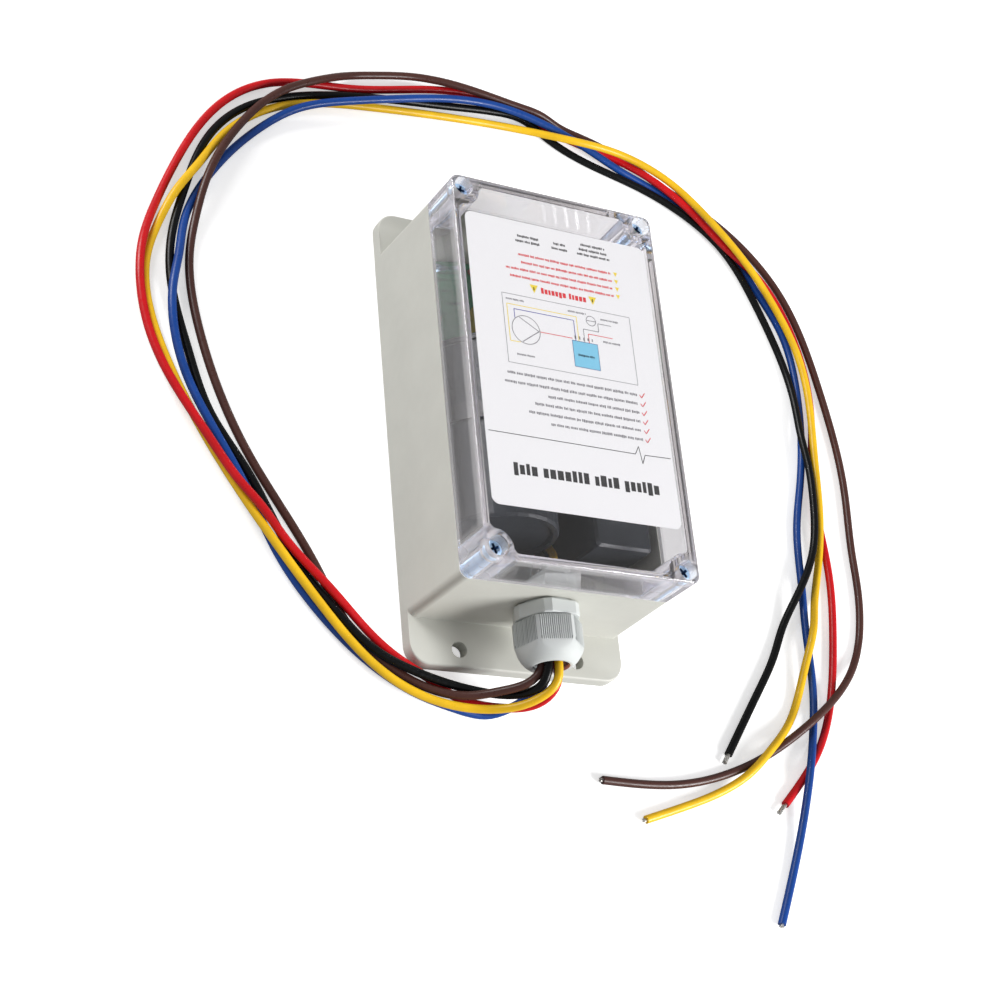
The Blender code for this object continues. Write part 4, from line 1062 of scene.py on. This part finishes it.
def make_gland_nut():
    """The compression nut: a ribbed hexagon, then a smooth dome round an open mouth."""
    turn = math.radians(NUT_TURN)
    grip_back = NUT_HIGH.y
    wide_open = NUT_POINTS + 2 * DOME_BLEND
    shape = [(NUT_POINTS - 0.5 * mm, 0), (wide_open, 0.4 * mm), (wide_open, 8.6 * mm)]
    for before, after in zip(NUT_DOME[:-1], NUT_DOME[1:]):
        for step in range(4):
            part = step / 4
            radius = before[0] + (after[0] - before[0]) * part
            along = before[1] + (after[1] - before[1]) * part
            shape.append((radius, along))
    shape.append(NUT_DOME[-1])
    layers = []
    for dome, along in reversed(shape):
        outline = []
        for side in range(NUT_SIDES):
            angle = 2 * math.pi * side / NUT_SIDES
            radius = nut_radius(angle - turn, dome, along)
            outline.append((radius * math.cos(angle), GLAND_Z + radius * math.sin(angle)))
        layers.append((outline, grip_back - along))
    nut = loft("ribbed_nut", layers, frame_matrix=Y_FRAME)
    wide = 8.4 * mm
    behind = 9.4 * mm
    profile = [
        (NUT_MOUTH + 0.3 * mm, GLAND_MOUTH - 0.3 * mm), (NUT_MOUTH, GLAND_MOUTH + 0.3 * mm),
        (NUT_MOUTH, GLAND_MOUTH + 1.2 * mm),
        (wide, GLAND_MOUTH + 2.6 * mm), (wide, GLAND_MOUTH + 8.5 * mm),
        (behind, GLAND_MOUTH + 8.5 * mm), (behind, grip_back + mm),
    ]
    hollow = turned("hollow", profile, 96, centre=GLAND_CENTRE, frame_matrix=Y_FRAME)
    boolean(nut, hollow, "DIFFERENCE")
    dress(nut, "gland", "nut", 24)
    paint_rib_shade(nut, turn)
    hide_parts("gland_nut")


# The board's small parts

def small_block(name, low, high, slot, edge=0.25 * mm):
    """A moulded block with rounded edges between two corners."""
    middle = ((low[0] + high[0]) / 2, (low[1] + high[1]) / 2)
    layers = []
    for inset, height in ((edge, low[2]), (0, low[2] + edge), (0, high[2] - edge), (edge, high[2])):
        width = high[0] - low[0] - 2 * inset
        length = high[1] - low[1] - 2 * inset
        layers.append((rounded_outline(width, length, edge, 3, middle), height))
    return loft(name, layers, slot, "enclosure")


def make_board_detail():
    """Chips and a row of pins along the board's left edge, where the cover shows them."""
    dice = random.Random(11)
    for index in range(12):
        x = -36.5 * mm + 4.6 * mm * (index % 3)
        y = 37 * mm + 4.4 * mm * (index // 3)
        if index % 3 == 0 and 47 * mm < y:
            continue
        wide = dice.uniform(1.2, 2.6) * mm
        long = dice.uniform(1.4, 3.2) * mm
        tall = dice.uniform(0.6, 2.2) * mm
        slot = ("bakelite", "nylon", "sleeve_blue", "light")[dice.randint(0, 3)]
        low = (x, y, BOARD_TOP + 0.02 * mm)
        small_block(f"board_chip_{index}", low, (x + wide, y + long, BOARD_TOP + tall), slot)
    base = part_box("pin_connector")[1].z
    for index in range(4):
        y = 53.4 * mm + 2.2 * mm * index
        low = (-35.1 * mm, y, base + 0.02 * mm)
        high = (-34.4 * mm, y + 0.7 * mm, base + 3 * mm)
        small_block(f"board_pin_{index}", low, high, "tin", 0.1 * mm)


# The label and its generic print

def stroke(points, width):
    """A line of even width through points, as one four-sided patch for each step."""
    patches = []
    for (x0, y0), (x1, y1) in zip(points[:-1], points[1:]):
        length = math.hypot(x1 - x0, y1 - y0)
        side_x = -(y1 - y0) / length * width / 2
        side_y = (x1 - x0) / length * width / 2
        patches.append(
            [(x0 + side_x, y0 + side_y), (x0 - side_x, y0 - side_y),
             (x1 - side_x, y1 - side_y), (x1 + side_x, y1 + side_y)]
        )
    return patches


def bars(start, end, middle, height, dice):
    """A row of upright marks in groups, which stands for a line of print."""
    patches = []
    x = start
    while x < end:
        for _ in range(dice.randint(3, 8)):
            width = height * dice.uniform(0.28, 0.5)
            top = middle + height * dice.choice((0.36, 0.36, 0.5))
            bottom = middle - height * dice.choice((0.36, 0.36, 0.36, 0.5))
            if x + width < end:
                patches.append([(x, bottom), (x + width, bottom), (x + width, top), (x, top)])
            x += width + height * 0.14
        x += height * 0.35
    return patches


def triangle(x, y, size):
    """A small triangle that points along -Y."""
    return [[(x - size / 2, y + size / 2), (x, y - size / 2), (x + size / 2, y + size / 2)]]


def print_ink(name, patches):
    """One ink's patches, in millimetres, as a film just above the sheet."""
    vertices, faces = [], []
    for patch in patches:
        faces.append(tuple(range(len(vertices), len(vertices) + len(patch))))
        vertices += [(x * mm, y * mm, INK_Z) for x, y in patch]
    made = add_mesh(f"print_{name}", vertices, faces)
    made.data.materials.append(INKS[name])
    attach(made, "cover")


def make_print():
    """Bars for lines of print, a framed wiring sketch and a row of small triangles."""
    dice = random.Random(4)
    inks = {name: [] for name in INKS}
    inks["black"] += bars(-29.5, 34, -42.3, 5.2, dice)
    pulse = [(-38.5, -28.3), (24.2, -28.4), (26, -25), (27, -32), (28.5, -28.3), (40, -28)]
    inks["black"] += stroke(pulse, 0.3)
    for row, start in enumerate((-11.5, -20.5, -17.5, -11.5, -29.5, -28)):
        y = -21.8 + 3.8 * row
        inks["grey"] += bars(start, 28.5, y, 1.25, dice)
        inks["red"] += stroke([(29.6, y + 0.2), (30.4, y - 1), (32, y + 1.2)], 0.35)
    inks["grey"] += stroke([(-27, 1.5), (29.5, 1.5), (29.5, 31), (-27, 31), (-27, 1.5)], 0.22)
    inks["blue"] += [[(2, 4.8), (13.2, 4.8), (13.2, 16), (2, 16)]]
    inks["navy"] += stroke([(2, 4.8), (13.2, 4.8), (13.2, 16), (2, 16), (2, 4.8)], 0.2)
    inks["navy"] += bars(4, 11.5, 10, 1.1, dice)
    inks["grey"] += stroke(arc((-18, 16.5), 6, 0, 360, 48), 0.3)
    inks["grey"] += stroke([(-12.4, 16.8), (-20.5, 21.6)], 0.35)
    inks["grey"] += stroke([(-12.4, 16.8), (-20, 11.2)], 0.35)
    inks["grey"] += stroke(arc((11.5, 26), 2.1, 0, 360, 24), 0.3)
    inks["grey"] += stroke([(9.4, 26), (13.6, 26)], 0.3)
    inks["yellow"] += stroke([(5, 16), (5, 26.6), (-25.3, 26.6), (-25.3, 10.8), (-21, 10.8)], 0.3)
    inks["navy"] += stroke([(3.6, 16), (3.6, 24.8), (-22.4, 24.8), (-22.4, 21)], 0.3)
    inks["red"] += stroke([(-12, 16.8), (2.2, 16.8)], 0.3)
    inks["red"] += stroke([(9.6, 16), (9.6, 20), (20.5, 20)], 0.3)
    inks["grey"] += stroke([(7.6, 16), (7.6, 21.8), (14.5, 21.8), (14.5, 25.4), (20.5, 25.4)], 0.3)
    for index in range(5):
        inks["grey"] += bars(3.2 + 1.9 * index, 4.4 + 1.9 * index, 17.4, 1.6, dice)
    for start, y in ((-23, 5.5), (-25.5, 28.8), (16, 27.6), (16, 17.8), (1.5, 28.6)):
        inks["grey"] += bars(start, start + 8, y, 0.9, dice)
    inks["red"] += bars(-9.5, 10.8, 35, 2.9, dice)
    for x in (-12.6, 13.4):
        inks["yellow"] += triangle(x, 35.2, 3.6)
        inks["black"] += stroke([(x, 36), (x, 34.6)], 0.5)
    for row, start in enumerate((-22.5, -24, -17, -18)):
        y = 39.4 + 3.35 * row
        inks["red"] += bars(start, 23.6, y, 1.15, dice)
        inks["yellow"] += triangle(25.6, y, 1.9)
    for start, end, rows in ((9, 24, 3), (-2.5, 5, 2), (-18.5, -7, 2)):
        for row in range(rows):
            inks["black"] += bars(start + row, end - row, 55.6 + 2.2 * row, 1.2, dice)
    for name, patches in inks.items():
        print_ink(name, patches)


def make_label():
    """The white sheet under the roof."""
    width = LABEL_HIGH.x - LABEL_LOW.x
    length = LABEL_HIGH.y - LABEL_LOW.y
    centre = ((LABEL_LOW.x + LABEL_HIGH.x) / 2, (LABEL_LOW.y + LABEL_HIGH.y) / 2)
    outline = rounded_outline(width, length, 3 * mm, 12, centre)
    label = prism("label_sheet", outline, LABEL_LOW.z, LABEL_HIGH.z, "label", "cover")
    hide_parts("diagram_label")


# Main

make_camera()
make_leads()
make_stage()
make_lights()
make_base()
make_cover()
make_cover_screws()
make_gland_body()
make_gland_nut()
make_board_detail()
make_label()
make_print()
for entry in frame["record"]["subparts"]:
    node = frame["nodes"][entry["node"]]
    for slot in node.material_slots:
        slot.material = MATERIALS[entry["material_slot"]]
